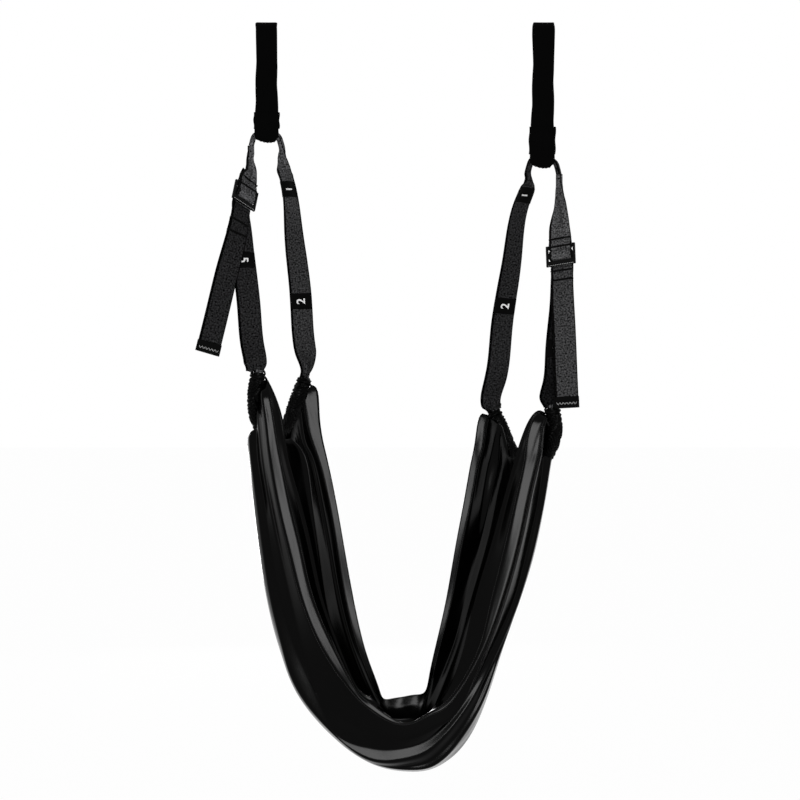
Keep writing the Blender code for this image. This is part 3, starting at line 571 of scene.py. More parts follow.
@dataclass
class Piece:
    """One object made of patches, with its finish, slot and body."""

    name: str
    finish: Finish
    slot: Slot
    body: "Body | None"

    def __post_init__(self) -> None:
        """Start with no patches, end caps or points."""
        self.patches: list[Patch] = []
        self.caps: list[np.ndarray] = []
        self.count = 0

    def add(self, patch: Patch) -> int:
        """Add a patch.

        Args:
            patch: the patch.

        Returns:
            The number of its first point.
        """
        first = self.count
        self.patches.append(patch)
        self.count += patch.points.shape[0] * patch.points.shape[1]
        return first

    def ribbon(self, rings: np.ndarray, place: np.ndarray) -> None:
        """Add a closed flat tube whose rings run over the face, round the edge and back.

        Each end is closed by quads between the two faces: point j of one face meets point j of
        the other.

        Args:
            rings: the rings of points.
            place: their own coordinates.
        """
        first = self.add(Patch(rings, place, around=True))
        rows, columns = rings.shape[:2]
        half = columns // 2
        j = np.arange(half - 1)
        pairs = np.stack([j, j + 1, columns - 2 - j, columns - 1 - j], axis=1)
        self.caps += [pairs[:, ::-1] + first, pairs + first + (rows - 1) * columns]

    def build(self) -> bpy.types.Object:
        """Make the mesh object, smooth, with its coordinates, and let it ride on its body.

        Returns:
            The object.
        """
        points = np.concatenate([p.points.reshape(-1, 3) for p in self.patches])
        place = np.concatenate([p.place.reshape(-1, 3) for p in self.patches])
        quads, first = [], 0
        for patch in self.patches:
            quads.append(patch.quads(first))
            first += patch.points.shape[0] * patch.points.shape[1]
        quads = np.concatenate(quads + self.caps).astype(np.int32)
        mesh = bpy.data.meshes.new(self.name)
        mesh.vertices.add(len(points))
        mesh.vertices.foreach_set("co", points.astype(np.float32).ravel())
        mesh.loops.add(quads.size)
        mesh.loops.foreach_set("vertex_index", quads.ravel())
        mesh.polygons.add(len(quads))
        mesh.polygons.foreach_set("loop_start", np.arange(0, quads.size, 4, dtype=np.int32))
        mesh.polygons.foreach_set("use_smooth", np.ones(len(quads), dtype=bool))
        mesh.update(calc_edges=True)
        mesh.validate()
        keep_places(mesh, place)
        mesh.materials.append(self.finish.material())
        obj = bpy.data.objects.new(self.name, mesh)
        bpy.context.scene.collection.objects.link(obj)
        if self.body:
            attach(obj, self.body.value)
        return obj


@dataclass
class Run:
    """A run of webbing: a line, its across directions and how far it is folded lengthwise."""

    points: np.ndarray
    across: np.ndarray
    narrow: "np.ndarray | float" = 0.0
    width: float = WEBBING_WIDTH
    thickness: float = WEBBING_THICKNESS
    phase: float = 0.0
    waves: "np.ndarray | float" = 2.5

    FOLD_ANGLE = 1.9
    EDGE_THINNESS = 0.45

    def section(self, count: int) -> tuple[np.ndarray, np.ndarray, np.ndarray]:
        """The strap's middle line in its own section, at each station.

        Its heading is a * sin(2 pi n s / w + phase), with a = 1.9 sqrt(narrow), so it stands in n
        waves and narrow is about the share of its width that is folded away; x and y are the sums
        of the heading's cosine and sine over s.

        Args:
            count: points across the strap.

        Returns:
            Across and height of each point, and its heading.
        """
        s = np.linspace(-0.5, 0.5, count)
        shape = (len(self.points),)
        narrow = np.broadcast_to(np.asarray(self.narrow, dtype=float), shape)
        waves = np.broadcast_to(np.asarray(self.waves, dtype=float), shape)
        amount = self.FOLD_ANGLE * np.sqrt(np.clip(narrow, 0.0, 1.0))[:, None]
        heading = amount * np.sin(FULL_TURN * waves[:, None] * s + self.phase)
        step = self.width / (count - 1)
        middle = (heading[:, 1:] + heading[:, :-1]) / 2.0
        zero = np.zeros((len(self.points), 1))
        x = np.concatenate([zero, np.cumsum(np.cos(middle) * step, axis=1)], axis=1)
        y = np.concatenate([zero, np.cumsum(np.sin(middle) * step, axis=1)], axis=1)
        return x - (x[:, :1] + x[:, -1:]) / 2.0, y - y.mean(axis=1, keepdims=True), heading

    def rings(self, count: int = 25) -> tuple[np.ndarray, np.ndarray]:
        """Rings over one face and back over the other, half a thickness off the middle line.

        Args:
            count: points across the strap.

        Returns:
            The points, and their coordinates across and along the strap.
        """
        across, normal = frames(self.points, self.across)
        x, y, heading = self.section(count)
        half = self.thickness / 2.0
        ease = np.ones(count)
        ease[[0, -1]] = self.EDGE_THINNESS
        rings = []
        for side in (1.0, -1.0):
            px = x - np.sin(heading) * half * side * ease
            py = y + np.cos(heading) * half * side * ease
            face = (self.points[:, None] + across[:, None] * px[..., None]
                    + normal[:, None] * py[..., None])
            rings.append(face if side > 0 else face[:, ::-1])
        shape = (len(self.points), count)
        one = np.stack([np.broadcast_to(np.linspace(0.0, self.width, count), shape),
                        np.broadcast_to(run_along(self.points)[:, None], shape),
                        np.zeros(shape)], axis=-1)
        return np.concatenate(rings, axis=1), np.concatenate([one, one[:, ::-1]], axis=1)


def tube(points: np.ndarray, radius: "np.ndarray | float", sides: int,
         across: "tuple | np.ndarray" = X_AXIS) -> Patch:
    """A tube: point + radius * (across * cos a + normal * sin a), a from 0 to 2 pi.

    Args:
        points: the middle line.
        radius: one value, or one for each point and side.
        sides: points round it.
        across: the direction of angle 0.

    Returns:
        The closed patch, its coordinates the points themselves.
    """
    side, normal = frames(points, np.asarray(across, dtype=float))
    angles = np.linspace(0.0, FULL_TURN, sides, endpoint=False)[None, :, None]
    radius = np.broadcast_to(np.asarray(radius, dtype=float), (len(points), sides))
    grid = points[:, None] + radius[..., None] * (side[:, None] * np.cos(angles)
                                                  + normal[:, None] * np.sin(angles))
    return Patch(grid, grid.copy(), around=True)


def stitches(piece: Piece, centres: np.ndarray, along: np.ndarray, up: np.ndarray,
             length: float, width: float) -> None:
    """Add one small rounded thread for each centre, half sunk in the cloth.

    Each is a tube of five rings of six points: radius width/2 * sqrt(1 - t^2), t from -1 to 1.

    Args:
        piece: what the threads are added to.
        centres: the middle of each thread.
        along: direction of each thread.
        up: direction away from the cloth, at each thread.
        length: length of a thread.
        width: width of a thread.
    """
    along = unit(along)
    up = unit(up - np.sum(up * along, axis=1, keepdims=True) * along)
    side = np.cross(along, up)
    t = np.array([-0.98, -0.6, 0.0, 0.6, 0.98])
    angles = np.linspace(0.0, FULL_TURN, 6, endpoint=False)[None, None, :, None]
    radius = width / 2.0 * np.sqrt(1.0 - t ** 2)
    ring = side[:, None, None] * np.cos(angles) + up[:, None, None] * np.sin(angles)
    points = (centres[:, None, None] + along[:, None, None] * (t * length / 2.0)[None, :, None, None]
              + ring * radius[None, :, None, None])
    for one in points:
        piece.add(Patch(one, one.copy(), around=True))


@dataclass(frozen=True)
class SideSizes:
    """What differs between the two sides, in metres and degrees."""

    name: str
    sign: float
    eye_drop: float
    leg_drop: float
    rear_inset: float
    tunnel_dip: float
    slider_drop: float
    slider_outset: float
    slider_turn: float
    slider_lean: float
    leg_bows: tuple
    foot_outset: float
    tail_length: float
    saddle_bunch: float
    rear_bunch: float
    first_label: float
    label_drop: float
    tail_label_drop: float
    third_label: float
    tail_end_shift: tuple
    tail_face: tuple
    tail_seams: tuple
    hanger_spread: float
    hanger_lean: float
    sleeve: tuple
    # Which lit or shaded copy of the webbing each strap takes
    leg_finish: Finish
    load_finish: Finish
    strap_finish: Finish
    tail_finish: Finish
    adjuster: Body
    free_end: Body


LEFT = SideSizes(
    name="left", sign=-1.0, eye_drop=0.169, leg_drop=0.388, rear_inset=0.065, tunnel_dip=0.100,
    slider_drop=0.089, slider_outset=0.016, slider_turn=48.0, slider_lean=16.0,
    leg_bows=(0.008, 0.0070, 0.0066), foot_outset=0.007, tail_length=0.225, saddle_bunch=0.050,
    rear_bunch=0.050, first_label=0.070, label_drop=0.110, tail_label_drop=0.044,
    third_label=0.2635, tail_end_shift=(-0.045, -0.068), tail_face=(1.0, 0.35, 0.0),
    tail_seams=(0.033, 0.051), hanger_spread=0.17, hanger_lean=0.0002, sleeve=(0.011, 0.038),
    leg_finish=WEBBING, load_finish=SHADED_LEFT_WEBBING, strap_finish=WEBBING, tail_finish=SHADED_LEFT_WEBBING,
    adjuster=Body.LEFT_ADJUSTER, free_end=Body.LEFT_END)
RIGHT = SideSizes(
    name="right", sign=1.0, eye_drop=0.211, leg_drop=0.402, rear_inset=0.084, tunnel_dip=0.088,
    slider_drop=0.145, slider_outset=0.009, slider_turn=-25.0, slider_lean=-4.0,
    leg_bows=(0.0045, 0.00315, 0.0018), foot_outset=0.0, tail_length=0.212, saddle_bunch=0.0265,
    rear_bunch=0.012, first_label=0.041, label_drop=0.157, tail_label_drop=0.016,
    third_label=0.273, tail_end_shift=(0.001, -0.073), tail_face=(1.0, -0.15, 0.0),
    tail_seams=(0.006, 0.022), hanger_spread=0.20, hanger_lean=-0.0026, sleeve=(0.011, 0.056),
    leg_finish=SHADED_RIGHT_WEBBING, load_finish=SHADED_LOAD_LEG, strap_finish=LIT_RIGHT_STRAP,
    tail_finish=LIT_RIGHT_TAIL, adjuster=Body.RIGHT_ADJUSTER, free_end=Body.RIGHT_END)
SADDLE_SLOPE = unit([ANCHOR_SPACING, 0.0, LEFT.eye_drop - RIGHT.eye_drop])


class Layout:
    """One side's fixed points and directions, worked out from its sizes as the solids' are."""

    def __init__(self, sizes: SideSizes) -> None:
        """Place the saddle, the strap tops, the hem's mouths and the slider.

        The slider stands on the line from the outer strap's top to the front mouth. Rear, bars and
        up are its directions: through it, along its bars and up the strap.

        Args:
            sizes: the side's sizes.
        """
        self.sizes = sizes
        self.sign = sizes.sign
        self.saddle = np.array([sizes.sign * ANCHOR_SPACING / 2.0, 0.0, -sizes.eye_drop])
        outward = SADDLE_SLOPE * sizes.sign * LEG_STANDOFF
        below = np.array([0.0, 0.0, -SADDLE_DEPTH])
        self.outer_top = self.saddle + outward + below
        self.inner_top = self.saddle - outward + below
        self.front_mouth = np.array([sizes.sign * (ANCHOR_SPACING / 2.0 + MOUTH_OUTSET),
                                     -MOUTH_SPACING / 2.0, self.saddle[2] - sizes.leg_drop])
        self.rear_mouth = self.front_mouth + np.array(
            [-sizes.sign * sizes.rear_inset, MOUTH_SPACING, -REAR_MOUTH_DROP])
        turn, lean = math.radians(sizes.slider_turn), math.radians(sizes.slider_lean)
        pull = unit(self.front_mouth - self.outer_top)
        self.rear = unit(np.cross([math.cos(turn), math.sin(turn), 0.0], pull))
        self.load = pull - np.dot(pull, self.rear) * self.rear
        self.bars = np.cross(self.rear, -self.load) * math.cos(lean) + self.load * math.sin(lean)
        self.up = np.cross(self.bars, self.rear)
        on_line = self.outer_top + (self.front_mouth - self.outer_top) * (
            sizes.slider_drop / sizes.leg_drop)
        self.slider = on_line + self.outwards(sizes.slider_outset) - self.rear * LEG_DEPTH

    def outwards(self, distance: float) -> np.ndarray:
        """A step away from the middle of the object, along X."""
        return np.array([self.sign * distance, 0.0, 0.0])

    def at(self, depth: float, height: float) -> np.ndarray:
        """A point of the slider's middle plane: depth to its rear, height along the strap."""
        return self.slider + self.rear * depth + self.up * height

    def path(self, places: tuple) -> list[np.ndarray]:
        """Points of the slider's middle plane for places (depth, height)."""
        return [self.at(depth, height) for depth, height in places]

    def tunnel_line(self) -> np.ndarray:
        """Knots of the line that the webbing follows inside the gathered hem.

        Each stands at its share of the way between the mouths, pushed out by its share of the
        belly and down by its share of the dip.

        Returns:
            The knots.
        """
        share, dip, belly = np.array(TUNNEL_LINE).T[:, :, None]
        return (self.front_mouth + (self.rear_mouth - self.front_mouth) * share
                + self.outwards(TUNNEL_BELLY) * belly
                - np.array([0.0, 0.0, self.sizes.tunnel_dip]) * dip)


@dataclass
class Strapping:
    """One side's webbing: over the hanger, down both legs and through the slider.

    Arch is half of the saddle's crown, across from its middle and up. Straight is how far a strap
    drops plumb below the saddle. Outside and inside are how far a leg's line runs beyond its mouth
    on either side. Leg turn is how the rear leg's face turns inwards: share of its length and the
    slope of its width. Slot turn is the strap's way through the lower slot, in shares of the ply's
    depth and of the slot's height. Wrap start, wrap front, leg start and tail start are points in
    depth and height, the first three on the slider and the last from the tail's own top. Folded is
    the width, length and thickness of a fold at the tail's end.
    """

    side: Layout
    arch: tuple = ((0.0, 0.0012), (0.009, 0.0020), (0.0155, 0.0022), (0.0198, -0.0016),
                   (0.0230, -0.0100))
    arch_rows: int = 150
    sewn_rows: int = 110
    wrap_rows: int = 90
    load_rows: int = 130
    tail_rows: int = 70
    core_rows: int = 90
    straight: float = 0.012
    outside: float = 0.005
    inside: float = 0.004
    fold_phase: float = 0.6
    eye_waves: float = 2.5
    leg_waves: float = 0.75
    sewn_waves: float = 1.5
    rear_shares: tuple = (0.12, 0.35, 0.65, 0.88)
    rear_bow: float = 0.0055
    mouth_fold: float = 0.55
    leg_turn: tuple = ((-0.2, 3.0), (0.0, 2.0), (0.08, 1.1), (0.21, 0.9), (0.46, 0.38),
                       (0.63, 0.2), (0.85, 0.1), (1.0, 0.6))
    curl_fold: float = 0.03
    curl_middle: float = 0.055
    curl_reach: float = 0.06
    sewn_length: float = 0.045
    bar_dip: float = 0.0022
    flat_height: float = 0.006
    flat_rest: float = 0.004
    seam_drop: float = 0.011
    seam_rise: float = 0.004
    wrap_start: tuple = ((LEG_DEPTH, -0.0008), (LEG_DEPTH - 0.0006, 0.0016))
    wrap_front: tuple = (-PLY_DEPTH - 0.0014, 0.0005)
    wrap_sink: float = 0.0006
    wrap_crown: float = 0.0035
    slot_turn: tuple = ((-1.0, 0.62), (-0.87, 0.26), (-0.52, 0.06), (0.0, 0.0), (0.52, -0.07),
                        (0.90, -0.30), (1.0, -0.70))
    leg_start: tuple = ((LEG_DEPTH, -0.0013), (LEG_DEPTH, -0.0063),
                        (LEG_DEPTH + 0.0011, -0.0158))
    leg_leave: float = 0.016
    leg_ease: float = 0.00132
    load_shares: tuple = (0.30, 0.65, 0.88)
    load_phase: float = 0.4
    load_fold: float = 0.35
    mouth_bunch: float = 0.016
    tail_start: tuple = ((0.0, 0.0), (-0.0004, -0.0136), (-0.002, -0.034))
    tail_shares: tuple = (0.35, 0.7, 1.0)
    core_phase: float = 0.5
    blend_foot: float = -0.02
    blend_top: float = 0.004
    folded: tuple = (0.0395, 0.018, 0.0014)
    fold_pitch: float = 0.0015
    fold_reach: float = 0.0006
    zigzag_lift: float = 0.0008
    zigzag_place: float = 0.0115
    zigzag_step: tuple = (0.0027, 0.0024)
    zigzag_thread: tuple = (0.0048, 0.0011)
    seam_threads: int = 14
    seam_thread: tuple = (0.0032, 0.0042)
    seam_inset: float = 0.0012
    label_thickness: float = 0.0006
    figure_size: float = 0.0200
    figure_boldness: float = 0.00035
    figure_lift: float = 0.00045

    @property
    def name(self) -> str:
        """Name of the side."""
        return self.side.sizes.name

    def inner_run(self) -> Run:
        """The saddle and the rear leg as one strap, bunched in the eye and at the mouth.

        Down the leg the fold eases off as 1 - smooth step over saddle_bunch, comes back to
        mouth_fold at the mouth, and never falls under a faint curl, curl_fold * exp(-((d - middle)
        / reach)^2). The leg bows inwards by 1 - (2x - 1)^4 of rear_bow.

        Returns:
            The run.
        """
        side = self.side
        arch = ([(LEG_STANDOFF, -SADDLE_DEPTH), *self.arch[::-1]]
                + [(-x, z) for x, z in self.arch[1:]])
        line = [side.saddle + SADDLE_SLOPE * side.sign * x + np.array([0.0, 0.0, z])
                for x, z in arch]
        start, end = side.inner_top, side.rear_mouth
        leg = [start, start - np.array([0.0, 0.0, self.straight])]
        for share in self.rear_shares:
            bow = self.rear_bow * (1.0 - (2.0 * share - 1.0) ** 4)
            leg.append(start + (end - start) * share - side.outwards(bow))
        into = tangents(spline(side.tunnel_line(), np.linspace(0.9, 1.0, 12)))[-1]
        points = even_line(np.array(line + leg + [end + into * self.outside,
                                                  end - into * self.inside]), self.arch_rows)
        run = run_along(points)
        arch_length = run_at(points, start)
        below = run - arch_length
        bunch = np.where(below < 0.0, 1.0, smooth_step(1.0 - below / side.sizes.saddle_bunch))
        at_mouth = smooth_step(1.0 - (run[-1] - run) / side.sizes.rear_bunch)
        curl = self.curl_fold * np.exp(-((below - self.curl_middle) / self.curl_reach) ** 2)
        slope = np.interp(below / (run[-1] - arch_length), *np.transpose(self.leg_turn))
        across = np.stack([np.ones(len(run)), side.sign * slope, np.zeros(len(run))], axis=1)
        narrow = np.maximum(np.maximum(bunch, self.mouth_fold * at_mouth), curl)
        waves = np.interp(below, [0.0, side.sizes.saddle_bunch], [self.eye_waves, self.leg_waves])
        return Run(points, across, narrow=narrow, waves=waves, phase=self.fold_phase)

    def outer_run(self) -> Run:
        """The sewn end: down from the saddle, round the slider's top bar and back up, doubled.

        Round the bar the line is -ply * cos a deep and dips by bar_dip * sin a. The strap's width
        turns from the saddle's way to the slider's bars by a smooth step, and so does its fold.

        Returns:
            The run.
        """
        side, top = self.side, self.side.outer_top
        seam = SLIDER_TOP + SEAM_HEIGHT
        close = PLY_PITCH / 2.0
        joint = side.at(-close, seam + self.sewn_length / 2.0)
        drop = np.array([0.0, 0.0, self.straight])
        middle = top * 0.45 + joint * 0.55 + side.outwards(MM)
        descent = spline([top, top - drop * 0.3, top - drop, middle, joint],
                         np.linspace(0.0, 1.0, 11))
        line = [*descent, side.at(-close, seam), side.at(-PLY_DEPTH, SLIDER_TOP - MM)]
        line += [side.at(-PLY_DEPTH * math.cos(a),
                         SLOT_TOP + TOUCH_GAP - self.bar_dip * math.sin(a))
                 for a in np.linspace(0.0, math.pi, 9)]
        line += [side.at(PLY_DEPTH, SLIDER_TOP - MM), side.at(close, seam)]
        line += [side.at(close, seam + self.sewn_length * 0.5 * share)
                 for share in (0.35, 0.65, 0.98)]
        points = even_line(np.array(line), self.sewn_rows)
        passed = run_along(points) / run_at(points, joint)
        height = (points - side.at(0.0, SLIDER_TOP)) @ side.up
        bunch = smooth_step((height - self.flat_height)
                            / (height[0] - self.flat_height - self.flat_rest))
        share = smooth_step((passed - 0.25) / 0.75)[:, None]
        across = np.array([0.42, -side.sign * 0.9, 0.0]) * (1.0 - share) + side.bars * share
        waves = np.interp(passed, [0.1, 0.8], [self.eye_waves, self.sewn_waves])
        return Run(points, across, narrow=bunch, waves=waves, phase=self.fold_phase)

    def wrap_run(self) -> Run:
        """The load leg's turn: over the middle bar, down its front and out below.

        Over the bar the line is -ply * cos a deep and rises by wrap_crown * sin a.

        Returns:
            The run.
        """
        side = self.side
        reach = MIDDLE_BAR / 2.0 + TOUCH_GAP - self.wrap_sink
        middle = -(MIDDLE_BAR + LOWER_SLOT) / 2.0
        line = side.path(self.wrap_start)
        line += [side.at(-PLY_DEPTH * math.cos(a), reach + self.wrap_crown * math.sin(a))
                 for a in np.linspace(math.pi, 0.0, 9)]
        line.append(side.at(*self.wrap_front))
        line += [side.at(depth * PLY_DEPTH, middle + height * LOWER_SLOT)
                 for depth, height in self.slot_turn]
        line.append(side.at(PLY_DEPTH, SLIDER_FOOT - TOUCH_GAP))
        points = even_line(np.array(line), self.wrap_rows)
        return Run(points, np.tile(side.bars, (self.wrap_rows, 1)))

    def load_run(self) -> Run:
        """The load leg, from behind the slider's middle bar down to the front mouth.

        Returns:
            The run.
        """
        side = self.side
        knots = side.path(self.leg_start)
        start = knots[0]
        knots.append(start + (side.load - side.up) * self.leg_leave + side.rear * self.leg_ease)
        knots += [start + (side.front_mouth - start) * share + side.outwards(bow)
                  for share, bow in zip(self.load_shares, side.sizes.leg_bows)]
        into = tangents(spline(side.tunnel_line(), np.linspace(0.0, 0.1, 12)))[0]
        foot = side.front_mouth + side.outwards(side.sizes.foot_outset)
        points = even_line(np.array(knots + [foot - into * self.outside,
                                             foot + into * self.inside]), self.load_rows)
        run = run_along(points)
        bunch = self.load_fold * smooth_step(1.0 - (run[-1] - run) / self.mouth_bunch)
        face = [1.0, -side.sign * 0.12, 0.0]
        turned = [1.0, -side.sign * 0.5, 0.0]
        across = read_rows(run / run[-1], [0.0, 0.12, 0.45, 0.9, 1.0],
                           [side.bars, side.bars, face, face, turned])
        return Run(points, across, narrow=bunch, phase=self.load_phase)

    def tail_run(self) -> Run:
        """The free tail, from under the slider's bottom bar to its folded end.

        Returns:
            The run.
        """
        side, sizes = self.side, self.side.sizes
        start = side.at(PLY_DEPTH, SLIDER_FOOT - TAIL_GAP)
        end = start + np.array([*sizes.tail_end_shift, -sizes.tail_length])
        knots = [start + side.rear * depth + side.up * height for depth, height in self.tail_start]
        leave = knots[-1]
        knots += [leave + (end - leave) * share for share in self.tail_shares]
        points = even_line(np.array(knots), self.tail_rows)
        across = read_rows(np.linspace(0.0, 1.0, self.tail_rows), [0.0, 0.1, 0.5, 1.0],
                           [side.bars, side.bars, sizes.tail_face, sizes.tail_face])
        return Run(points, across)

    def piece(self, name: str, finish: Finish, body: "Body | None", run: Run,
              *nodes: str) -> bpy.types.Object:
        """Make one strap piece that stands for solids.

        Args:
            name: the piece's name without its side.
            finish: the webbing's finish.
            body: the body that it rides on, or None for a piece that rides on no body.
            run: its line.
            nodes: the solids that it stands for, without their side.

        Returns:
            The object.
        """
        made = Piece(f"{self.name}_{name}", finish, Slot.WEBBING, body)
        made.ribbon(*run.rings())
        obj = made.build()
        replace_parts(obj, *[f"{self.name}_{node}" for node in nodes])
        return obj

    def blend_leg(self, obj: bpy.types.Object) -> None:
        """Bake a piece of the load leg's placement into its mesh; it rides on no body."""
        tuple(self.side.at(0.0, self.blend_foot))
        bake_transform(obj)

    def build(self) -> None:
        """Make all the webbing of this side, its seams and its number labels."""
        side, sizes = self.side, self.side.sizes
        inner, outer, load, tail = (self.inner_run(), self.outer_run(), self.load_run(),
                                    self.tail_run())
        self.piece("saddle_and_rear_leg", sizes.leg_finish, Body.SLING, inner, "saddle",
                   "rear_leg")
        made = self.piece("sewn_strap", sizes.strap_finish, None, outer, "upper_strap")
        tuple(side.at(0.0, SLIDER_TOP + self.blend_top))
        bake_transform(made)
        self.blend_leg(self.piece("load_leg", sizes.load_finish, None, load, "front_leg"))
        self.piece("slider_wrap", sizes.strap_finish, sizes.adjuster, self.wrap_run(), "bar_wrap")
        self.piece("free_tail", sizes.tail_finish, sizes.free_end, tail, "tail")
        self.bunched_core()
        self.folded_end(tail)
        seam = run_at(outer.points, side.at(-PLY_PITCH / 2.0, SLIDER_TOP + SEAM_HEIGHT))
        self.seams("strap_seam", outer, sizes.adjuster,
                   (seam + self.seam_drop, seam - self.seam_rise))
        self.seams("tail_seam", tail, sizes.free_end, sizes.tail_seams)
        first = run_at(inner.points, side.inner_top) + sizes.first_label
        self.label(1, inner, first, Body.SLING)
        self.label(2, inner, first + LABEL_PITCH, Body.SLING)
        self.label(5, load, sizes.label_drop, None)
        self.label(6, tail, sizes.tail_label_drop, sizes.free_end, behind=True)

    def bunched_core(self) -> None:
        """The folded webbing inside the gathered hem, with its two hidden labels round it."""
        points = even_line(self.side.tunnel_line(), self.core_rows)
        run = Run(points, np.tile(X_AXIS, (self.core_rows, 1)), narrow=1.0, phase=self.core_phase)
        self.piece("hem_webbing", WEBBING, Body.SLING, run, "tunnel_webbing")
        third, half = self.side.sizes.third_label, LABEL_SIZE[1] / 2.0
        for number, distance in ((3, third), (4, third - LABEL_PITCH)):
            line = read_rows(np.linspace(distance - half, distance + half, 9),
                             run_along(points), points)
            made = Piece(f"{self.name}_hidden_label_{number}", LABEL_TAPE, Slot.LABEL, Body.SLING)
            made.add(tube(line, BUNCH_RADIUS + TOUCH_GAP, 24))
            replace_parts(made.build(), f"{self.name}_label_{number}")

    def folded_end(self, tail: Run) -> None:
        """The tail's end, folded over itself twice and sewn flat with a zigzag.

        Three layers lie fold_pitch apart. Both faces carry a zigzag of twelve stitches, between
        points that lie a step apart across and alternately a step up and down.

        Args:
            tail: the tail's run.
        """
        along = unit(tail.points[-1] - tail.points[-2])
        across, normal = (rows[-1] for rows in frames(tail.points, tail.across))
        start = tail.points[-1] + along * TOUCH_GAP
        free_end = self.side.sizes.free_end
        width, length, thickness = self.folded
        made = Piece(f"{self.name}_folded_end", DARK_THREAD, Slot.WEBBING, free_end)
        places = np.linspace(0.0, length, 12)
        for layer, reach in ((-1.0, 0.0), (0.0, self.fold_reach), (1.0, 0.0)):
            line = start + along * (places[:, None] + reach) + normal * layer * self.fold_pitch
            run = Run(line, np.tile(across, (12, 1)), width=width, thickness=thickness)
            made.ribbon(*run.rings(9))
        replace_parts(made.build(), f"{self.name}_tail_end")
        zigzag = Piece(f"{self.name}_end_stitches", PALE_THREAD, Slot.WEBBING, free_end)
        steps = np.arange(13)
        sideways, upwards = self.zigzag_step
        spots = (start + along * self.zigzag_place + across * ((steps - 6.0) * sideways)[:, None]
                 + along * np.where(steps % 2, upwards, -upwards)[:, None])
        for face in (-1.0, 1.0):
            out = normal * face
            centres = (spots[1:] + spots[:-1]) / 2.0 + out * (self.fold_pitch + self.zigzag_lift)
            stitches(zigzag, centres, spots[1:] - spots[:-1], np.tile(out, (12, 1)),
                     *self.zigzag_thread)
        zigzag.build()

    def seams(self, name: str, run: Run, body: Body, places: tuple) -> None:
        """Rows of dark threads across a strap, on both its faces.

        Args:
            name: the piece's name without its side.
            run: the strap that is sewn.
            body: the body that the threads ride on.
            places: length run at each row.
        """
        made = Piece(f"{self.name}_{name}", DARK_THREAD, Slot.WEBBING, body)
        across, normal = frames(run.points, run.across)
        half = WEBBING_WIDTH / 2.0 - self.seam_inset
        offsets = np.linspace(-half, half, self.seam_threads)[:, None]
        for place in places:
            i = int(np.argmin(np.abs(run_along(run.points) - place)))
            for face in (-1.0, 1.0):
                spots = (run.points[i] + across[i] * offsets
                         + normal[i] * face * WEBBING_THICKNESS / 2.0)
                stitches(made, spots, np.tile(across[i], (self.seam_threads, 1)),
                         np.tile(normal[i] * face, (self.seam_threads, 1)), *self.seam_thread)
        made.build()

    def label(self, number: int, run: Run, distance: float, body: "Body | None",
              behind: bool = False) -> None:
        """A printed number label sewn on a strap's face, its figure turned sideways.

        Args:
            number: the number.
            run: the strap that it is sewn to, whose folds it follows.
            distance: length run at its middle.
            body: the body that it rides on, or None on the load leg, which rides on no body.
            behind: whether it faces the rear.
        """
        across, normal = frames(run.points, run.across)
        length = run_along(run.points)
        width, height = LABEL_SIZE
        stops = np.linspace(distance - height / 2.0, distance + height / 2.0, 9)
        narrow, waves = (np.interp(stops, length, np.broadcast_to(row, length.shape))
                         for row in (run.narrow, run.waves))
        line, sideways, out = (read_rows(stops, length, rows)
                               for rows in (run.points, across, normal))
        facing = -1.0 if (out[4][1] > 0.0) != behind else 1.0
        out = unit(out) * facing
        lift = WEBBING_THICKNESS / 2.0 + TOUCH_GAP + self.label_thickness / 2.0
        patch = Run(line + out * lift, sideways, narrow=narrow, waves=waves, phase=run.phase,
                    width=width, thickness=self.label_thickness)
        made = Piece(f"{self.name}_number_label_{number}", LABEL_TAPE, Slot.LABEL, body)
        made.ribbon(*patch.rings(11))
        obj = made.build()
        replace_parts(obj, f"{self.name}_label_{number}")
        figure = self.figure(number, patch.points, unit(sideways), out)
        if body:
            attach(figure, body.value)
        else:
            self.blend_leg(obj)
            self.blend_leg(figure)

    def figure(self, number: int, line: np.ndarray, sideways: np.ndarray,
               out: np.ndarray) -> bpy.types.Object:
        """The number as a thin print on the label, its top towards the strap's side.

        A flat text is made a mesh, centred, and laid out: its width down the strap, its height
        sideways. The figure on the load leg stands the other way up.

        Args:
            number: the number.
            line: the label's middle line.
            sideways: unit directions across the label.
            out: unit directions away from the strap.

        Returns:
            The object.
        """
        text = bpy.data.curves.new(f"{self.name}_figure_{number}", "FONT")
        text.body = str(number)
        text.size = self.figure_size
        text.align_x = "CENTER"
        text.align_y = "CENTER"
        text.offset = self.figure_boldness
        holder = bpy.data.objects.new(text.name, text)
        bpy.context.scene.collection.objects.link(holder)
        depsgraph = bpy.context.evaluated_depsgraph_get()
        mesh = bpy.data.meshes.new_from_object(holder.evaluated_get(depsgraph))
        bpy.data.objects.remove(holder, do_unlink=True)
        flat = np.zeros(len(mesh.vertices) * 3)
        mesh.vertices.foreach_get("co", flat)
        flat = flat.reshape(-1, 3)
        flat[:, :2] -= (flat[:, :2].max(axis=0) + flat[:, :2].min(axis=0)) / 2.0
        middle = len(line) // 2
        side_way, outward = sideways[middle], out[middle]
        down = unit(line[-1] - line[0])
        if np.dot(np.cross(side_way, down), outward) > 0.0:
            side_way = -side_way
        turn = -1.0 if number == 5 else 1.0
        points = (line[middle] + outward * self.figure_lift - side_way * flat[:, 1:2] * turn
                  - down * flat[:, 0:1] * turn)
        mesh.vertices.foreach_set("co", points.ravel())
        keep_places(mesh, points)
        mesh.materials.clear()
        mesh.materials.append(PRINT.material())
        mesh.update()
        obj = bpy.data.objects.new(f"{self.name}_figure_{number}", mesh)
        bpy.context.scene.collection.objects.link(obj)
        return obj


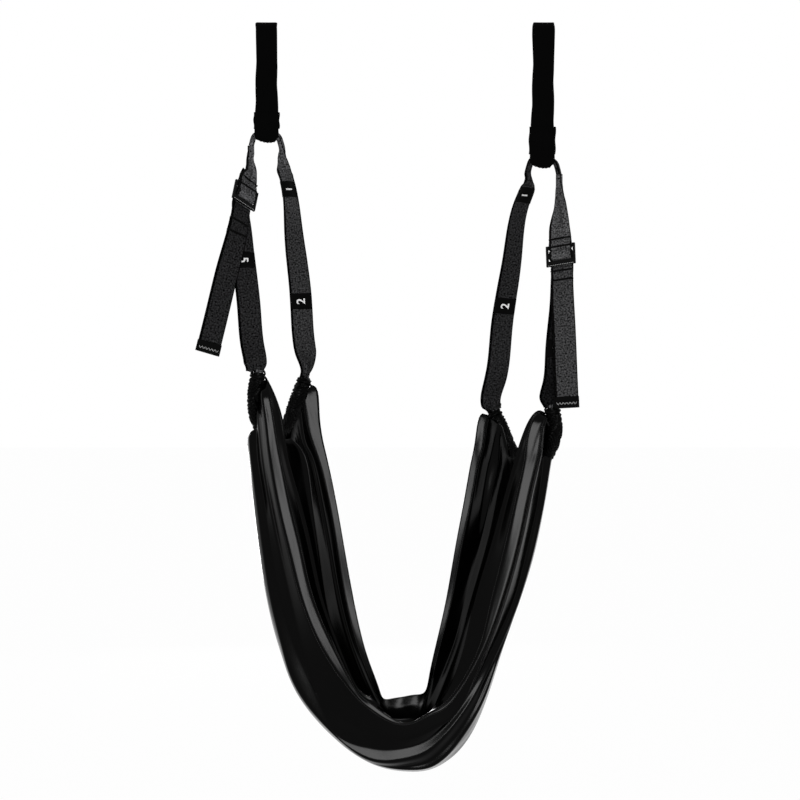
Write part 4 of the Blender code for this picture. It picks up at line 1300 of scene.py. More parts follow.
@dataclass
class Hanger:
    """A black strap closed into a loop: a bar eye at the top and an eye for the webbing below.

    Eye reach is how far the throat of the upper and the lower eye lies from its middle. Crown room
    is how far the crown of the lower eye may lie under its bundle. Sleeve outset is how far the
    sleeve stands proud in width and depth, and sleeve corners the powers that round its section.
    """

    side: Layout
    width: float = 0.036
    thickness: float = 0.0022
    slit: float = 0.0004
    bar_radius: float = 0.015
    eye_reach: tuple = (0.046, 0.024)
    ripple: float = 0.0006
    sag: float = 0.0035
    crown_room: float = 0.002
    crown_ripple: float = 0.0005
    sleeve_outset: tuple = (0.0012, 0.0016)
    sleeve_corners: tuple = (0.35, 0.6)

    @staticmethod
    def eye(radius: float, offset: float, distance: float, steps: int) -> np.ndarray:
        """Half an eye from its crown to the throat: an arc, then its tangent line.

        Args:
            radius: radius of the arc.
            offset: how far the throat's end lies to the side.
            distance: how far it lies below the arc's middle.
            steps: steps of the arc.

        Returns:
            Side and height of each point.
        """
        reach = math.hypot(offset, distance)
        bearing = math.atan2(-distance, offset) + math.acos(radius / reach)
        angles = np.linspace(math.pi / 2.0, bearing, steps + 1)
        arc = np.stack([radius * np.cos(angles), radius * np.sin(angles)], axis=1)
        return np.vstack([arc, [[offset, -distance]]])

    def build(self) -> None:
        """Make the loop, which carries both eyes, and the sleeve above the lower one."""
        side, drop = self.side, self.side.sizes.eye_drop
        ply = (self.thickness + self.slit) / 2.0
        upper, lower = self.eye_reach
        top = self.eye(self.bar_radius + self.thickness / 2.0, ply, upper, 16)
        low = self.eye(BUNCH_RADIUS + TOUCH_GAP * 1.5 + self.thickness / 2.0, ply, lower, 10)
        between = np.linspace(-upper, lower - drop, 30)[1:-1]
        half = ([tuple(p) for p in top] + [(ply, z) for z in between]
                + [(y, -drop - z) for y, z in low[::-1]])
        depth, height = np.array(half + [(-y, z) for y, z in half[::-1]]).T
        share = np.clip(-height / drop, 0.0, 1.0)[:, None]
        across = unit(np.array(X_AXIS) * (1.0 - share) + SADDLE_SLOPE * share)
        ripple = self.ripple * np.sin(height * 95.0 + depth * 300.0)
        points = np.stack([side.saddle[0] + ripple, depth, height], axis=1)
        run = Run(points, across, width=self.width, thickness=self.thickness)
        made = Piece(f"{side.sizes.name}_hanger_loop", HANGER_STRAP, Slot.HANGER, Body.HANGERS)
        grid, place = run.rings(17)
        made.ribbon(self.drape(grid), place)
        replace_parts(made.build(), f"{side.sizes.name}_hanger")
        self.sleeve()

    def lean(self, height: np.ndarray) -> np.ndarray:
        """How far the strap leans along X at a height: the lean times h to the power 1.5."""
        down = np.clip(-height / self.side.sizes.eye_drop, 0.0, 1.0)
        return self.side.sizes.hanger_lean * down ** 1.5

    def drape(self, grid: np.ndarray) -> np.ndarray:
        """Widen the strap downwards and round its lower end, which sags in the middle.

        With h from 0 at the bar to 1 at the saddle and c from 0 there to 1 at the crown, x is
        scaled by (0.95 + spread h^2) (1 - 0.28 c^3), and z falls by sag c (1 - (2 x / w)^2).

        Args:
            grid: the strap's rings.

        Returns:
            The draped rings.
        """
        side, drop = self.side, self.side.sizes.eye_drop
        down = np.clip(-grid[..., 2] / drop, 0.0, 1.0)
        crown = np.clip((-drop - grid[..., 2]) / (BUNCH_RADIUS + self.crown_room), 0.0, 1.0)
        x = grid[..., 0] - side.saddle[0]
        sag = self.sag * crown * (1.0 - (2.0 * x / self.width) ** 2)
        sag += self.crown_ripple * crown * np.sin(x * 900.0)
        x = x * (0.95 + side.sizes.hanger_spread * down ** 2) * (1.0 - 0.28 * crown ** 3)
        draped = grid.copy()
        draped[..., 0] = side.saddle[0] + x + self.lean(grid[..., 2])
        draped[..., 2] -= sag
        return draped

    def sleeve(self) -> None:
        """A short doubled sleeve sewn round both plies above the lower eye, a little wider.

        Its section is a rounded box, sign(cos a) |cos a|^p by sign(sin a) |sin a|^q, and it swells
        by a quarter of sqrt(sin(pi t)) in the middle of its height.
        """
        side, drop = self.side, self.side.sizes.eye_drop
        made = Piece(f"{side.sizes.name}_hanger_sleeve", HANGER_STRAP, Slot.HANGER, Body.HANGERS)
        low, high = side.sizes.sleeve
        heights = np.linspace(low - drop, high - drop, 14)
        t = np.linspace(0.0, 1.0, 14)
        middle = side.saddle[0] + self.lean(heights) + self.ripple * np.sin(9.0 * t)
        angles = np.linspace(0.0, FULL_TURN, 40, endpoint=False)
        half_width = self.width / 2.0 * (0.95 + side.sizes.hanger_spread) + self.sleeve_outset[0]
        half_depth = self.thickness + self.sleeve_outset[1]
        x, y = (np.sign(wave) * np.abs(wave) ** power * half for wave, power, half in
                zip((np.cos(angles), np.sin(angles)), self.sleeve_corners,
                    (half_width, half_depth)))
        swell = (1.0 + 0.25 * np.sin(math.pi * t) ** 0.5)[:, None]
        grid = np.stack([middle[:, None] + x * (0.97 + 0.03 * swell), y * swell,
                         np.broadcast_to(heights[:, None], (14, 40))], axis=-1)
        made.add(Patch(grid, grid.copy(), around=True))
        made.build()


@dataclass
class Gather:
    """One side's gathered hem: satin bunched on the webbing, with wraps at both mouths.

    Core is the radius under the pleats. Mouth share is the part of its length over which they
    fade, and end share the part of the webbing's line that each end leaves bare. A drift is a list
    of waves (height, turns round the hem, radians along the whole hem).
    """

    side: Layout
    rows: int = 260
    sides: int = 56
    core: float = 0.0074
    pleat_pitch: float = 0.0092
    pleat_height: float = 0.0032
    pleat_drift: tuple = ((2.6, 2.0, 13.0), (1.9, 3.0, -29.0))
    small_pitch: float = 0.0051
    small_height: float = 0.0014
    small_drift: tuple = ((2.6, 3.0, 17.0),)
    crush_height: float = 0.0022
    mouth_share: float = 0.05
    end_share: float = 0.012
    turns: int = 4
    turn_pitch: float = 0.0052
    turn_start: float = 0.002
    turn_radius: float = 0.0104
    turn_swing: float = 0.0012
    turn_tilt: float = 0.0042
    cord_radius: float = 0.0021
    cord_swing: float = 0.0006

    @staticmethod
    def drift(waves: tuple, a: np.ndarray, share: np.ndarray) -> np.ndarray:
        """Phase of the pleats: the sum of height * sin(turns * a + along * share)."""
        return sum(height * np.sin(turns * a + along * share) for height, turns, along in waves)

    def build(self) -> None:
        """Make the crumpled channel and the wound ends.

        Its radius is the core plus |sin| waves along it, large and small, whose phase drifts with
        the angle, plus a slow crush round it; all three fade out at the mouths.
        """
        knots = self.side.tunnel_line()
        shown = self.end_share + even_places(knots, self.rows) * (1.0 - 2.0 * self.end_share)
        points = spline(knots, shown)
        run = run_along(points)[:, None]
        share = run / run[-1]
        a = np.linspace(0.0, FULL_TURN, self.sides, endpoint=False)[None, :]
        fade = smooth_step(np.minimum(share, 1.0 - share) / self.mouth_share)
        pleat, small = (np.abs(np.sin(run * math.pi / pitch + self.drift(waves, a, share)))
                        for pitch, waves in ((self.pleat_pitch, self.pleat_drift),
                                             (self.small_pitch, self.small_drift)))
        crush = 0.5 + 0.5 * np.sin(5.0 * share * math.pi + 2.0 * a)
        radius = self.core + fade * (self.pleat_height * pleat ** 0.8 + self.small_height * small
                                     + self.crush_height * crush)
        made = Piece(f"{self.side.sizes.name}_gathered_hem", GATHERED_CLOTH, Slot.CLOTH,
                     Body.SLING)
        made.add(tube(points, radius, self.sides))
        for line in (points, points[::-1]):
            self.wound_end(made, line)
        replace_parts(made.build(), f"{self.side.sizes.name}_tunnel")

    def wound_end(self, made: Piece, line: np.ndarray) -> None:
        """Slanting turns of twisted cloth round the webbing at one mouth.

        Each is a tube on the loop centre + r cos a * side + 0.9 r sin a * other, tilted along the
        webbing by a sine of the angle; its place, radius and tilt change from turn to turn.

        Args:
            made: the piece that the turns are added to.
            line: the hem's line, from this mouth inwards.
        """
        length = run_along(line)
        along = unit(line[12] - line[0])
        side = unit(np.cross(along, [0.3, 1.0, 0.2]))
        other = np.cross(along, side)
        a = np.linspace(0.0, FULL_TURN, 41)[:, None]
        for turn in range(self.turns):
            centre = read_rows([self.turn_start + self.turn_pitch * turn], length, line)
            tilt = self.turn_tilt * math.sin(1.3 + 1.9 * turn)
            swell = self.turn_radius + self.turn_swing * math.sin(2.0 * turn)
            loop = (centre + side * np.cos(a) * swell + other * np.sin(a) * (swell * 0.9)
                    + along * tilt * np.sin(a + turn))
            radius = (self.cord_radius + self.cord_swing * np.sin(3.0 * a + turn)) * np.ones(10)
            made.add(tube(loop, radius, 10, along))


@dataclass(frozen=True)
class FoldLine:
    """A fold of the cloth, followed on the photograph from the left hem to the right one.

    Knots are (station, column, row, depth): the stations count the steps down one side and up the
    other, the column and row are pixels, and the depth is millimetres behind the bar's plane.
    Hem share is where the fold starts on both gathered hems, from the front mouth to the rear.
    """

    name: str
    hem_share: float
    knots: tuple

    DEPTH_GROWTH = 0.16

    def places(self) -> np.ndarray:
        """The knots in metres: X = Xc + (column - 400) s k, Z = Zc - (row - 400) s k.

        Here s is a pixel's size at the bar's plane and k = (D + Y) / D, with D the camera's
        distance. Depths grow towards the seat by up to DEPTH_GROWTH.

        Returns:
            Station, X, Y and Z of each knot.
        """
        station, column, row, depth = np.array(self.knots, dtype=float).T
        growth = self.DEPTH_GROWTH * np.sin(math.pi * station / LAST_STATION)
        y = depth * MM * (1.0 + growth)
        scale = PIXEL * (VIEW_DISTANCE + y) / VIEW_DISTANCE
        x = VIEW_CENTRE[0] + (column - IMAGE_MIDDLE) * scale
        z = VIEW_CENTRE[1] - (row - IMAGE_MIDDLE) * scale
        return np.stack([station, x, y, z], axis=1)


FOLD_LINES = (
    FoldLine("front_edge", 0, (
        (0.5, 272, 387, -102), (1, 281, 411, -101), (2, 287, 452, -98), (3, 300.5, 501, -93),
        (4, 312.5, 549, -92), (5, 323, 598, -92), (6, 341, 650, -94), (7, 359, 689, -98),
        (8, 376, 701, -100), (9, 402, 727, -92), (10, 424, 717, -98), (11, 446, 692.5, -101),
        (12, 463, 650, -97), (13, 474, 602, -94), (14, 489, 551, -92), (15, 503, 500, -92),
        (16, 514.5, 460, -97), (17, 524, 430, -101), (17.5, 534, 410.5, -102))),
    FoldLine("front_edge_roll", 0.01, (
        (0.5, 270.6, 387, -103), (1, 278, 411, -101.4), (2, 284, 452, -98.6),
        (3, 297.5, 501, -93.5), (4, 309.5, 549, -92.5), (5, 320, 598, -92.5),
        (6, 338.5, 651, -94.5), (7, 357.5, 690.5, -98.3), (8, 375, 703, -100.5),
        (9, 402.3, 726, -95), (10, 425, 716, -101), (11, 447.5, 694, -103),
        (12, 465, 651, -97.3), (13, 476.5, 603, -94.5), (14, 492, 551, -92.5),
        (15, 506.5, 500, -92.5), (16, 517.5, 460, -97.6), (17, 526.5, 431, -101.4),
        (17.5, 534.8, 411, -103))),
    FoldLine("hem_ridge_inner", 0.03, (
        (0.5, 268.5, 388, -109), (1, 272, 410, -107.6), (2, 279, 452, -106.6), (3, 289, 501, -107),
        (4, 301, 550, -107), (5, 313.5, 599, -107), (6, 335.5, 651, -106), (7, 357.5, 692, -103),
        (8, 374, 706, -103), (9, 403.5, 723, -107), (10, 428, 713, -108), (11, 449, 699, -108),
        (12, 477, 655, -108), (13, 490, 609, -108), (14, 504, 552, -107), (15, 516, 500, -107),
        (16, 524.5, 460, -106.4), (17, 528, 434, -107.4), (17.5, 536, 412, -108.5))),
    FoldLine("hem_ridge_outer", 0.07, (
        (0.5, 260.5, 389, -110), (1, 263.5, 410, -108.6), (2, 268, 452, -107.6),
        (3, 276.5, 501, -108), (4, 288, 550, -108), (5, 301, 599, -108), (6, 323.5, 651, -107),
        (7, 351, 689, -104), (8, 373.5, 711, -104), (9, 403.5, 724.5, -108),
        (10, 430, 714.5, -109), (11, 451, 702, -109), (12, 479.5, 656, -109),
        (13, 499, 607, -109), (14, 515.5, 552, -109), (15, 527, 500, -108),
        (16, 536.5, 460, -107.4), (17, 541, 434, -108.4), (17.5, 544.5, 413, -109.5))),
    FoldLine("thin_fold_inner", 0.14, (
        (1, 259, 418, -84), (2, 263, 455, -84), (3, 270, 500, -86), (4, 280.5, 551, -88),
        (5, 291, 601, -90), (6, 303.5, 652, -92), (7, 323, 700, -94), (8, 362, 727, -96),
        (9, 404, 738, -99), (10, 434, 727, -100), (11, 459, 708, -102), (12, 483, 657, -105),
        (13, 501, 607, -106), (14, 517.2, 552, -106), (15, 528.7, 500, -105),
        (16, 538.2, 460, -105), (17, 542.5, 434, -105), (17.5, 546, 414, -105))),
    FoldLine("thin_fold_outer", 0.16, (
        (1, 257.5, 419, -83), (2, 261.5, 455.5, -83.5), (3, 268, 500, -85.5),
        (4, 278.8, 551.5, -87.5), (5, 289.3, 601.5, -89.5), (6, 302, 652.6, -91.5),
        (7, 321, 701, -93.5), (8, 361.8, 729, -95.5), (9, 404, 740, -98.5),
        (10, 435, 728.5, -100.5), (11, 460.3, 709, -102.5), (12, 484.8, 657.5, -107),
        (13, 503, 607.5, -109), (14, 519, 552.4, -109), (15, 530.5, 500.3, -108),
        (16, 540, 460.2, -107.5), (17, 544.2, 434, -107), (17.5, 547, 415, -106))),
    FoldLine("outer_band_inner", 0.27, (
        (1, 257, 432, -60), (2, 257.5, 457, -66), (3, 264, 500, -74), (4, 271, 550, -80),
        (5, 281.5, 600, -84), (6, 296, 650, -88), (7, 319, 702, -92), (7.5, 337, 735, -92),
        (8, 365, 747.6, -93), (9, 402, 748, -93), (10, 430, 738, -93), (11, 460, 708, -93),
        (12, 487, 658, -88), (13, 512, 603, -78), (14, 526.5, 551, -68), (15, 537.5, 500, -60),
        (16, 542.5, 460, -56), (17, 544, 448, -54))),
    FoldLine("outer_band_outer", 0.33, (
        (1, 249.8, 433, -57), (2, 250.3, 457, -63), (3, 256.3, 500, -72), (4, 263, 551, -78),
        (5, 270.7, 601, -82), (6, 283.5, 653, -87), (7, 307, 705, -91), (7.5, 335.3, 736.5, -92),
        (8, 363, 757.5, -95), (9, 405, 760.5, -95.5), (10, 435, 747, -95), (11, 468, 706, -94),
        (12, 496, 656, -86.5), (13, 518.6, 602.5, -77), (14, 533.8, 551, -67),
        (15, 544.6, 500, -59), (16, 551, 460, -55), (17, 551.6, 450, -53))),
    FoldLine("under_band_inner", 0.38, (
        (1, 249.2, 434, -50), (2, 249.8, 458, -54), (3, 254, 500, -62), (4, 260.3, 551, -68),
        (5, 268.4, 601.5, -71), (6, 281, 651, -75), (7, 306.5, 707.5, -78),
        (7.5, 334.5, 737, -82), (8, 362, 758.4, -84), (9, 409, 765, -82), (10, 438, 753, -84),
        (11, 471, 711, -86), (12, 494.4, 660, -80), (13, 519, 602.2, -66), (14, 534.4, 551, -57),
        (15, 545, 500, -50), (16, 551.5, 460, -46), (17, 552.2, 451, -45))),
    FoldLine("under_band_outer", 0.43, (
        (1, 248.9, 434.5, -44), (2, 249.5, 459, -48), (3, 253.2, 500, -54), (4, 259.3, 551, -58),
        (5, 267.6, 601, -60), (6, 279.9, 649.5, -64), (7, 307, 708.5, -66),
        (7.5, 334.2, 737.5, -70), (8, 362, 758.8, -76), (9, 411, 770.3, -83),
        (10, 443, 760, -85), (11, 477, 714, -87), (12, 497.8, 661, -80), (13, 519.1, 602.1, -60),
        (14, 534.7, 551, -50), (15, 545.2, 500, -43), (16, 551.7, 460, -40),
        (17, 552.3, 451.5, -40))),
    FoldLine("outermost", 0.49, (
        (1, 248.7, 436, -34), (2, 249.5, 461, -36), (3, 253, 500, -38), (4, 259, 550, -38),
        (5, 267.3, 600, -38), (6, 279.5, 648, -38), (7, 309, 709, -36), (7.5, 334, 738, -34),
        (8, 362, 759, -30), (9, 406, 771.5, -26), (10, 441, 765.5, -30), (11, 475, 728, -36),
        (12, 498.5, 662, -40), (13, 519.3, 602, -40), (14, 535, 551, -38), (15, 545.3, 500, -34),
        (16, 551.8, 460, -32), (17, 552.4, 452, -32))),
    FoldLine("middle", 0.56, (
        (1, 264, 440, -8), (2, 262, 460, -4), (3, 267, 500, 0), (4, 274, 550, 2),
        (5, 283, 600, 5), (6, 297, 648, 8), (7, 322, 703, 12), (8, 365, 747, 20),
        (9, 405, 766, 25), (10, 436, 758, 20), (11, 465, 722, 14), (12, 487, 660, 10),
        (13, 507, 602, 6), (14, 522, 551, 3), (15, 532, 500, 0), (16, 538, 465, -4),
        (17, 537, 459, -8))),
    FoldLine("back_fold_outer", 0.67, (
        (1, 290, 440, 30), (2, 301.5, 456, 42), (3, 308.5, 500, 48), (4, 315.5, 545, 54),
        (5, 322, 598, 60), (6, 333, 645, 64), (7, 352, 700, 68), (8, 375, 730, 70),
        (9, 404, 742, 72), (10, 424, 735, 72), (11, 441, 700, 70), (12, 460, 650, 66),
        (13, 474, 602, 62), (14, 489, 551, 58), (15, 500, 500, 54), (16, 508, 464, 45),
        (17, 512, 457, 34))),
    FoldLine("back_fold_inner", 0.7, (
        (1, 292, 440, 30.5), (2, 304.5, 456, 42.5), (3, 311.5, 500, 48.5), (4, 317.8, 545, 55),
        (5, 325, 598, 63), (6, 336, 645, 68), (7, 356, 698, 72), (8, 378, 727, 76),
        (9, 404, 736, 78), (10, 422, 730, 78), (11, 438, 697, 75), (12, 456, 650, 72),
        (13, 470, 602, 68), (14, 485, 551, 64), (15, 496, 500, 60), (16, 504, 463, 52),
        (17, 508, 456, 40))),
    FoldLine("rear_fold_outer", 0.82, (
        (0.5, 297, 400, 79), (1, 300, 430, 72), (2, 308.5, 455, 75), (3, 318.5, 500, 80),
        (4, 327.5, 548, 83), (5, 336.5, 598, 86), (6, 350.5, 648, 88), (7, 368, 691, 90),
        (8, 386, 722, 90), (9, 404, 727, 92), (10, 420, 722, 90), (11, 434, 693, 88),
        (12, 452, 650, 84), (13, 465, 602, 80), (14, 478, 551, 78), (15, 490, 500, 75),
        (16, 498.5, 463, 70), (17, 500, 440, 62), (17.5, 502, 420, 60))),
    FoldLine("rear_fold_inner", 0.85, (
        (0.5, 300, 399, 80), (1, 303, 430, 72.7), (2, 312, 455, 75.7), (3, 322, 500, 80.7),
        (4, 331, 548, 83.7), (5, 340, 598, 86.7), (6, 353.5, 648, 88.8), (7, 371, 690, 91.2),
        (8, 388, 717, 96), (9, 404, 720, 98), (10, 419, 716, 96), (11, 431, 690, 94),
        (12, 447, 650, 90), (13, 461, 602, 86), (14, 474.5, 551, 83), (15, 483, 500, 77),
        (16, 489, 463, 71.5), (17, 494, 439, 65), (17.5, 499, 418, 63))),
    FoldLine("rear_hem_inner", 0.95, (
        (0.5, 302, 388, 95), (1, 304.5, 415, 96), (2, 316, 455, 97), (3, 328, 500, 98),
        (4, 336.5, 548, 98.5), (5, 344.5, 598, 99), (6, 357, 648, 96), (7, 373.5, 690, 96),
        (7.6, 381.5, 704, 97), (8, 390, 707, 98), (9, 404, 706, 98), (10, 418.5, 704, 98),
        (10.4, 424, 703, 98), (11, 431.5, 684, 97), (12, 440, 648, 96), (13, 452, 602, 98),
        (14, 461.5, 551, 98.5), (15, 472.5, 500, 98), (16, 480, 461, 97), (17, 486, 436, 96),
        (17.5, 489, 412, 95))),
    FoldLine("rear_edge", 1, (
        (0.5, 318, 386, 95.5), (1, 319.5, 412, 96.5), (2, 326.5, 455, 97.5), (3, 336, 500, 98.5),
        (4, 344.5, 548, 99), (5, 353.5, 598, 99.6), (6, 365.5, 650, 97.5), (7, 379, 688, 98),
        (7.6, 384.3, 699, 99), (8, 391, 698.6, 100), (9, 404, 696.5, 101),
        (10, 417.5, 694.4, 100.5), (10.4, 424, 693, 99.5), (11, 428.5, 679, 98.5),
        (12, 435, 648, 97), (13, 445.5, 602, 98.8), (14, 454.5, 551, 99.2),
        (15, 464, 500, 98.7), (16, 471, 461, 97.6), (17, 476, 433, 96.6),
        (17.5, 479.5, 412, 95.5))),
)


@dataclass
class Cloth:
    """The satin sling: one sheet through its fold lines, gathered at both hems.

    Hem margin is the share of a gathered hem that the sheet leaves free at each mouth. Hem lift is
    how far a fold starts from the hem's line, and edge lift what the sheet's edges add to it.
    Pleats are (height, width) of the large and small ones.
    """

    left: Layout
    right: Layout
    rows: int = 250
    fine_rows: int = 900
    column_pitch: float = 0.0026
    thickness: float = 0.0006
    hem_margin: float = 0.03
    edge_share: float = 0.06
    hem_lift: float = 0.0095
    edge_lift: float = 0.004
    pleats: tuple = ((0.0006, 0.0125), (0.0003, 0.0068))
    pleat_reach: float = 0.030
    hem_reach: float = 0.006
    creases: tuple = ((0.00022, 140.0, 0.0, 3.0, 11.0), (0.00018, 61.0, -17.0, 2.0, 23.0))
    stitch_pitch: float = 0.0036
    stitch_thread: tuple = (0.0020, 0.0006)
    stitched: tuple = (0.03, 0.97)

    def hem_point(self, side: Layout, share: float) -> np.ndarray:
        """Where a fold starts: on the gathered hem's lower outside, in from its own line.

        From the hem's line it goes down and sideways by 0.45 - 0.70 sin(pi share) inwards, square
        to the line. Within edge_share of either mouth it goes further in and stands further off.

        Args:
            side: the hem's side.
            share: share of the way from the front mouth to the rear.

        Returns:
            The point.
        """
        place = self.hem_margin + (1.0 - 2.0 * self.hem_margin) * share
        before, middle, after = spline(side.tunnel_line(),
                                       np.array([place - 0.004, place, place + 0.004]))
        along = unit(after - before)
        edge = max(0.0, 1.0 - min(share, 1.0 - share) / self.edge_share)
        inward = 0.45 - 0.70 * math.sin(math.pi * share) + 0.9 * edge
        pull = np.array([-side.sign * inward, 0.0, -1.0])
        away = unit(pull - np.dot(along, pull) * along)
        return middle + away * (self.hem_lift + self.edge_lift * edge)

    def line(self, fold: FoldLine, places: np.ndarray) -> np.ndarray:
        """Read a fold line, a natural cubic spline through its knots and both hems.

        Args:
            fold: the fold line.
            places: stations to read.

        Returns:
            One point for each place.
        """
        first = [0.0, *self.hem_point(self.left, fold.hem_share)]
        last = [LAST_STATION, *self.hem_point(self.right, fold.hem_share)]
        rows = np.vstack([first, fold.places(), last])
        return cubic(rows[:, 0], rows[:, 1:], places)

    @staticmethod
    def rounded(grid: np.ndarray, times: int) -> np.ndarray:
        """Filter a grid down its rows by (before + 2 * here + after) / 4, its two ends held.

        Args:
            grid: rows of points.
            times: how often.

        Returns:
            The filtered grid.
        """
        grid = grid.copy()
        for _ in range(times):
            grid[1:-1] = (grid[:-2] + 2.0 * grid[1:-1] + grid[2:]) / 4.0
        return grid

    def surface(self) -> tuple[np.ndarray, np.ndarray]:
        """The sheet: between two fold lines p and q a point is (1 - t) * p + t * q.

        Rows lie evenly in the length of the middle of the sheet. Columns lie about column_pitch
        apart. The sheet is then rounded, twice across and four times along.

        Returns:
            The grid of points, and the fold number of each column.
        """
        fine = np.linspace(0.0, LAST_STATION, self.fine_rows)
        lines = np.stack([self.line(fold, fine) for fold in FOLD_LINES], axis=1)
        run = run_along(lines.mean(axis=1))
        picks = np.interp(np.linspace(0.0, run[-1], self.rows), run, np.arange(self.fine_rows))
        low = np.clip(picks.astype(int), 0, self.fine_rows - 2)
        part = (picks - low)[:, None, None]
        lines = lines[low] * (1.0 - part) + lines[low + 1] * part
        gaps = np.linalg.norm(np.diff(lines, axis=1), axis=2)
        counts = np.clip(np.ceil(np.percentile(gaps, 80, axis=0) / self.column_pitch), 2, 22)
        stations = np.concatenate([k + np.arange(int(n)) / n for k, n in enumerate(counts)]
                                  + [[len(FOLD_LINES) - 1.0]])
        base = np.clip(stations.astype(int), 0, len(FOLD_LINES) - 2)
        t = (stations - base)[None, :, None]
        grid = lines[:, base] * (1.0 - t) + lines[:, base + 1] * t
        grid = self.rounded(grid.swapaxes(0, 1), 2).swapaxes(0, 1)
        return self.rounded(grid, 4), stations

    @staticmethod
    def normals(grid: np.ndarray) -> np.ndarray:
        """Unit normals of a grid: the cross product of its two directions."""
        return unit(np.cross(np.gradient(grid, axis=0), np.gradient(grid, axis=1)))

    def gathers(self, across: np.ndarray, along: np.ndarray) -> np.ndarray:
        """Height of the small pleats that fan out from both hems, and of faint creases.

        Pleats are a * exp(-d / reach) * sin(2 pi x / w), x across and d from the nearer hem, and
        start at nought on the hem itself. Creases are h * sin(p x + q y + r sin(s y)).

        Args:
            across: length from the front edge at each point.
            along: length from the left hem at each point.

        Returns:
            The height at each point.
        """
        d = np.minimum(along, along.max() - along)
        x = across + 0.004 * np.sin(along * 38.0)
        (large, large_width), (small, small_width) = self.pleats
        pleats = large * np.sin(x * FULL_TURN / large_width + 1.4 * np.sin(along * 31.0))
        pleats += small * np.sin(x * FULL_TURN / small_width + 2.0)
        fade = np.exp(-d / self.pleat_reach) * np.clip(d / self.hem_reach, 0.0, 1.0)
        creases = sum(h * np.sin(across * p + along * q + r * np.sin(along * s))
                      for h, p, q, r, s in self.creases)
        return pleats * fade + creases

    def build(self) -> None:
        grid, stations = self.surface()
        steps = np.linalg.norm(np.diff(grid, axis=1), axis=2)
        across = np.concatenate([np.zeros((self.rows, 1)), np.cumsum(steps, axis=1)], axis=1)
        middle = run_along(grid[:, grid.shape[1] // 2])
        along = np.broadcast_to(middle[:, None], across.shape)
        grid = grid + self.normals(grid) * self.gathers(across, along)[..., None]
        made = Piece("satin_sling", SATIN_CLOTH, Slot.CLOTH, Body.SLING)
        made.add(Patch(grid, np.stack([across, along, np.zeros_like(across)], axis=-1)))
        obj = made.build()
        wall = obj.modifiers.new("wall", "SOLIDIFY")
        wall.thickness = self.thickness
        wall.offset = 0.0
        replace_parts(obj, "sling_panel", "front_hem", "rear_hem")
        threads = [self.stitch_row(grid, stations, name, fold) for name, fold in
                   (("front_hem_stitches", 3.04), ("front_edge_stitches", 1.95),
                    ("rear_hem_stitches", 16.15))]
        logging.info("cloth %.3f m wide, %.3f m long", np.median(across[:, -1]), middle[-1])

    def stitch_row(self, grid: np.ndarray, stations: np.ndarray, name: str,
                   fold: float) -> bpy.types.Object:
        """One row of stitches along the sheet, on both faces.

        Args:
            grid: the sheet's points.
            stations: the fold number of each column.
            name: the piece's name.
            fold: the fold number of the row.

        Returns:
            The object.
        """
        column = np.interp(fold, stations, np.arange(len(stations)))
        low = int(column)
        part = column - low
        line = grid[:, low] * (1.0 - part) + grid[:, low + 1] * part
        run = run_along(line)
        stops = np.arange(run[-1] * self.stitched[0], run[-1] * self.stitched[1],
                          self.stitch_pitch)
        centre, ahead = (read_rows(stops + step, run, line) for step in (0.0, MM / 2.0))
        up = read_rows(stops, run, self.normals(grid)[:, low])
        made = Piece(name, HIGHLIT_HEM_THREAD, Slot.CLOTH, Body.SLING)
        for face in (-1.0, 1.0):
            stitches(made, centre + up * face * self.thickness / 2.0, ahead - centre, up * face,
                     *self.stitch_thread)
        return made.build()


@dataclass
class Metalwork:
    """One imported slider, given its coated metal, with teeth along its bottom bar; the teeth are
    real, their pale colour a painted glint.
    """

    side: Layout
    tooth: tuple = (0.0018, 0.0011)
    teeth: int = 15
    teeth_height: float = 0.0012
    teeth_width: float = WEBBING_WIDTH + 0.004

    def build(self) -> None:
        """Assign the coated metal and add the teeth, evenly along the bar."""
        side = self.side
        mesh = bpy.data.objects[f"{side.sizes.name}_slider"].data
        mesh.materials.clear()
        mesh.materials.append(BLACK_METAL.material())
        flat = np.zeros(len(mesh.vertices) * 3)
        mesh.vertices.foreach_get("co", flat)
        keep_places(mesh, flat)
        teeth = Piece(f"{side.sizes.name}_slider_teeth", GLINT_TEETH, Slot.METAL,
                      side.sizes.adjuster)
        places = np.linspace(-self.teeth_width / 2.0, self.teeth_width / 2.0, self.teeth)
        middle = side.at(-SLIDER_THICKNESS / 2.0, SLIDER_FOOT + self.teeth_height)
        stitches(teeth, middle + side.bars * places[:, None], np.tile(side.bars, (self.teeth, 1)),
                 np.tile(-side.rear, (self.teeth, 1)), *self.tooth)
        teeth.build()


@dataclass(frozen=True)
class Lamp:
    """A soft box: where it stands, its width and height, and its power in watts."""

    name: str
    place: tuple
    size: tuple
    power: float

    def build(self, target: tuple) -> None:
        """Make the lamp and turn it to face a point.

        Args:
            target: the point.
        """
        light = bpy.data.lights.new(self.name, "AREA")
        light.shape = "RECTANGLE"
        light.size, light.size_y = self.size
        light.energy = self.power
        obj = bpy.data.objects.new(self.name, light)
        obj.location = self.place
        heading = np.array(target) - np.array(self.place)
        flat = math.hypot(heading[0], heading[1])
        obj.rotation_euler = (math.atan2(flat, -heading[2]), 0.0,
                              math.atan2(heading[1], heading[0]) - math.pi / 2.0)
        bpy.context.scene.collection.objects.link(obj)


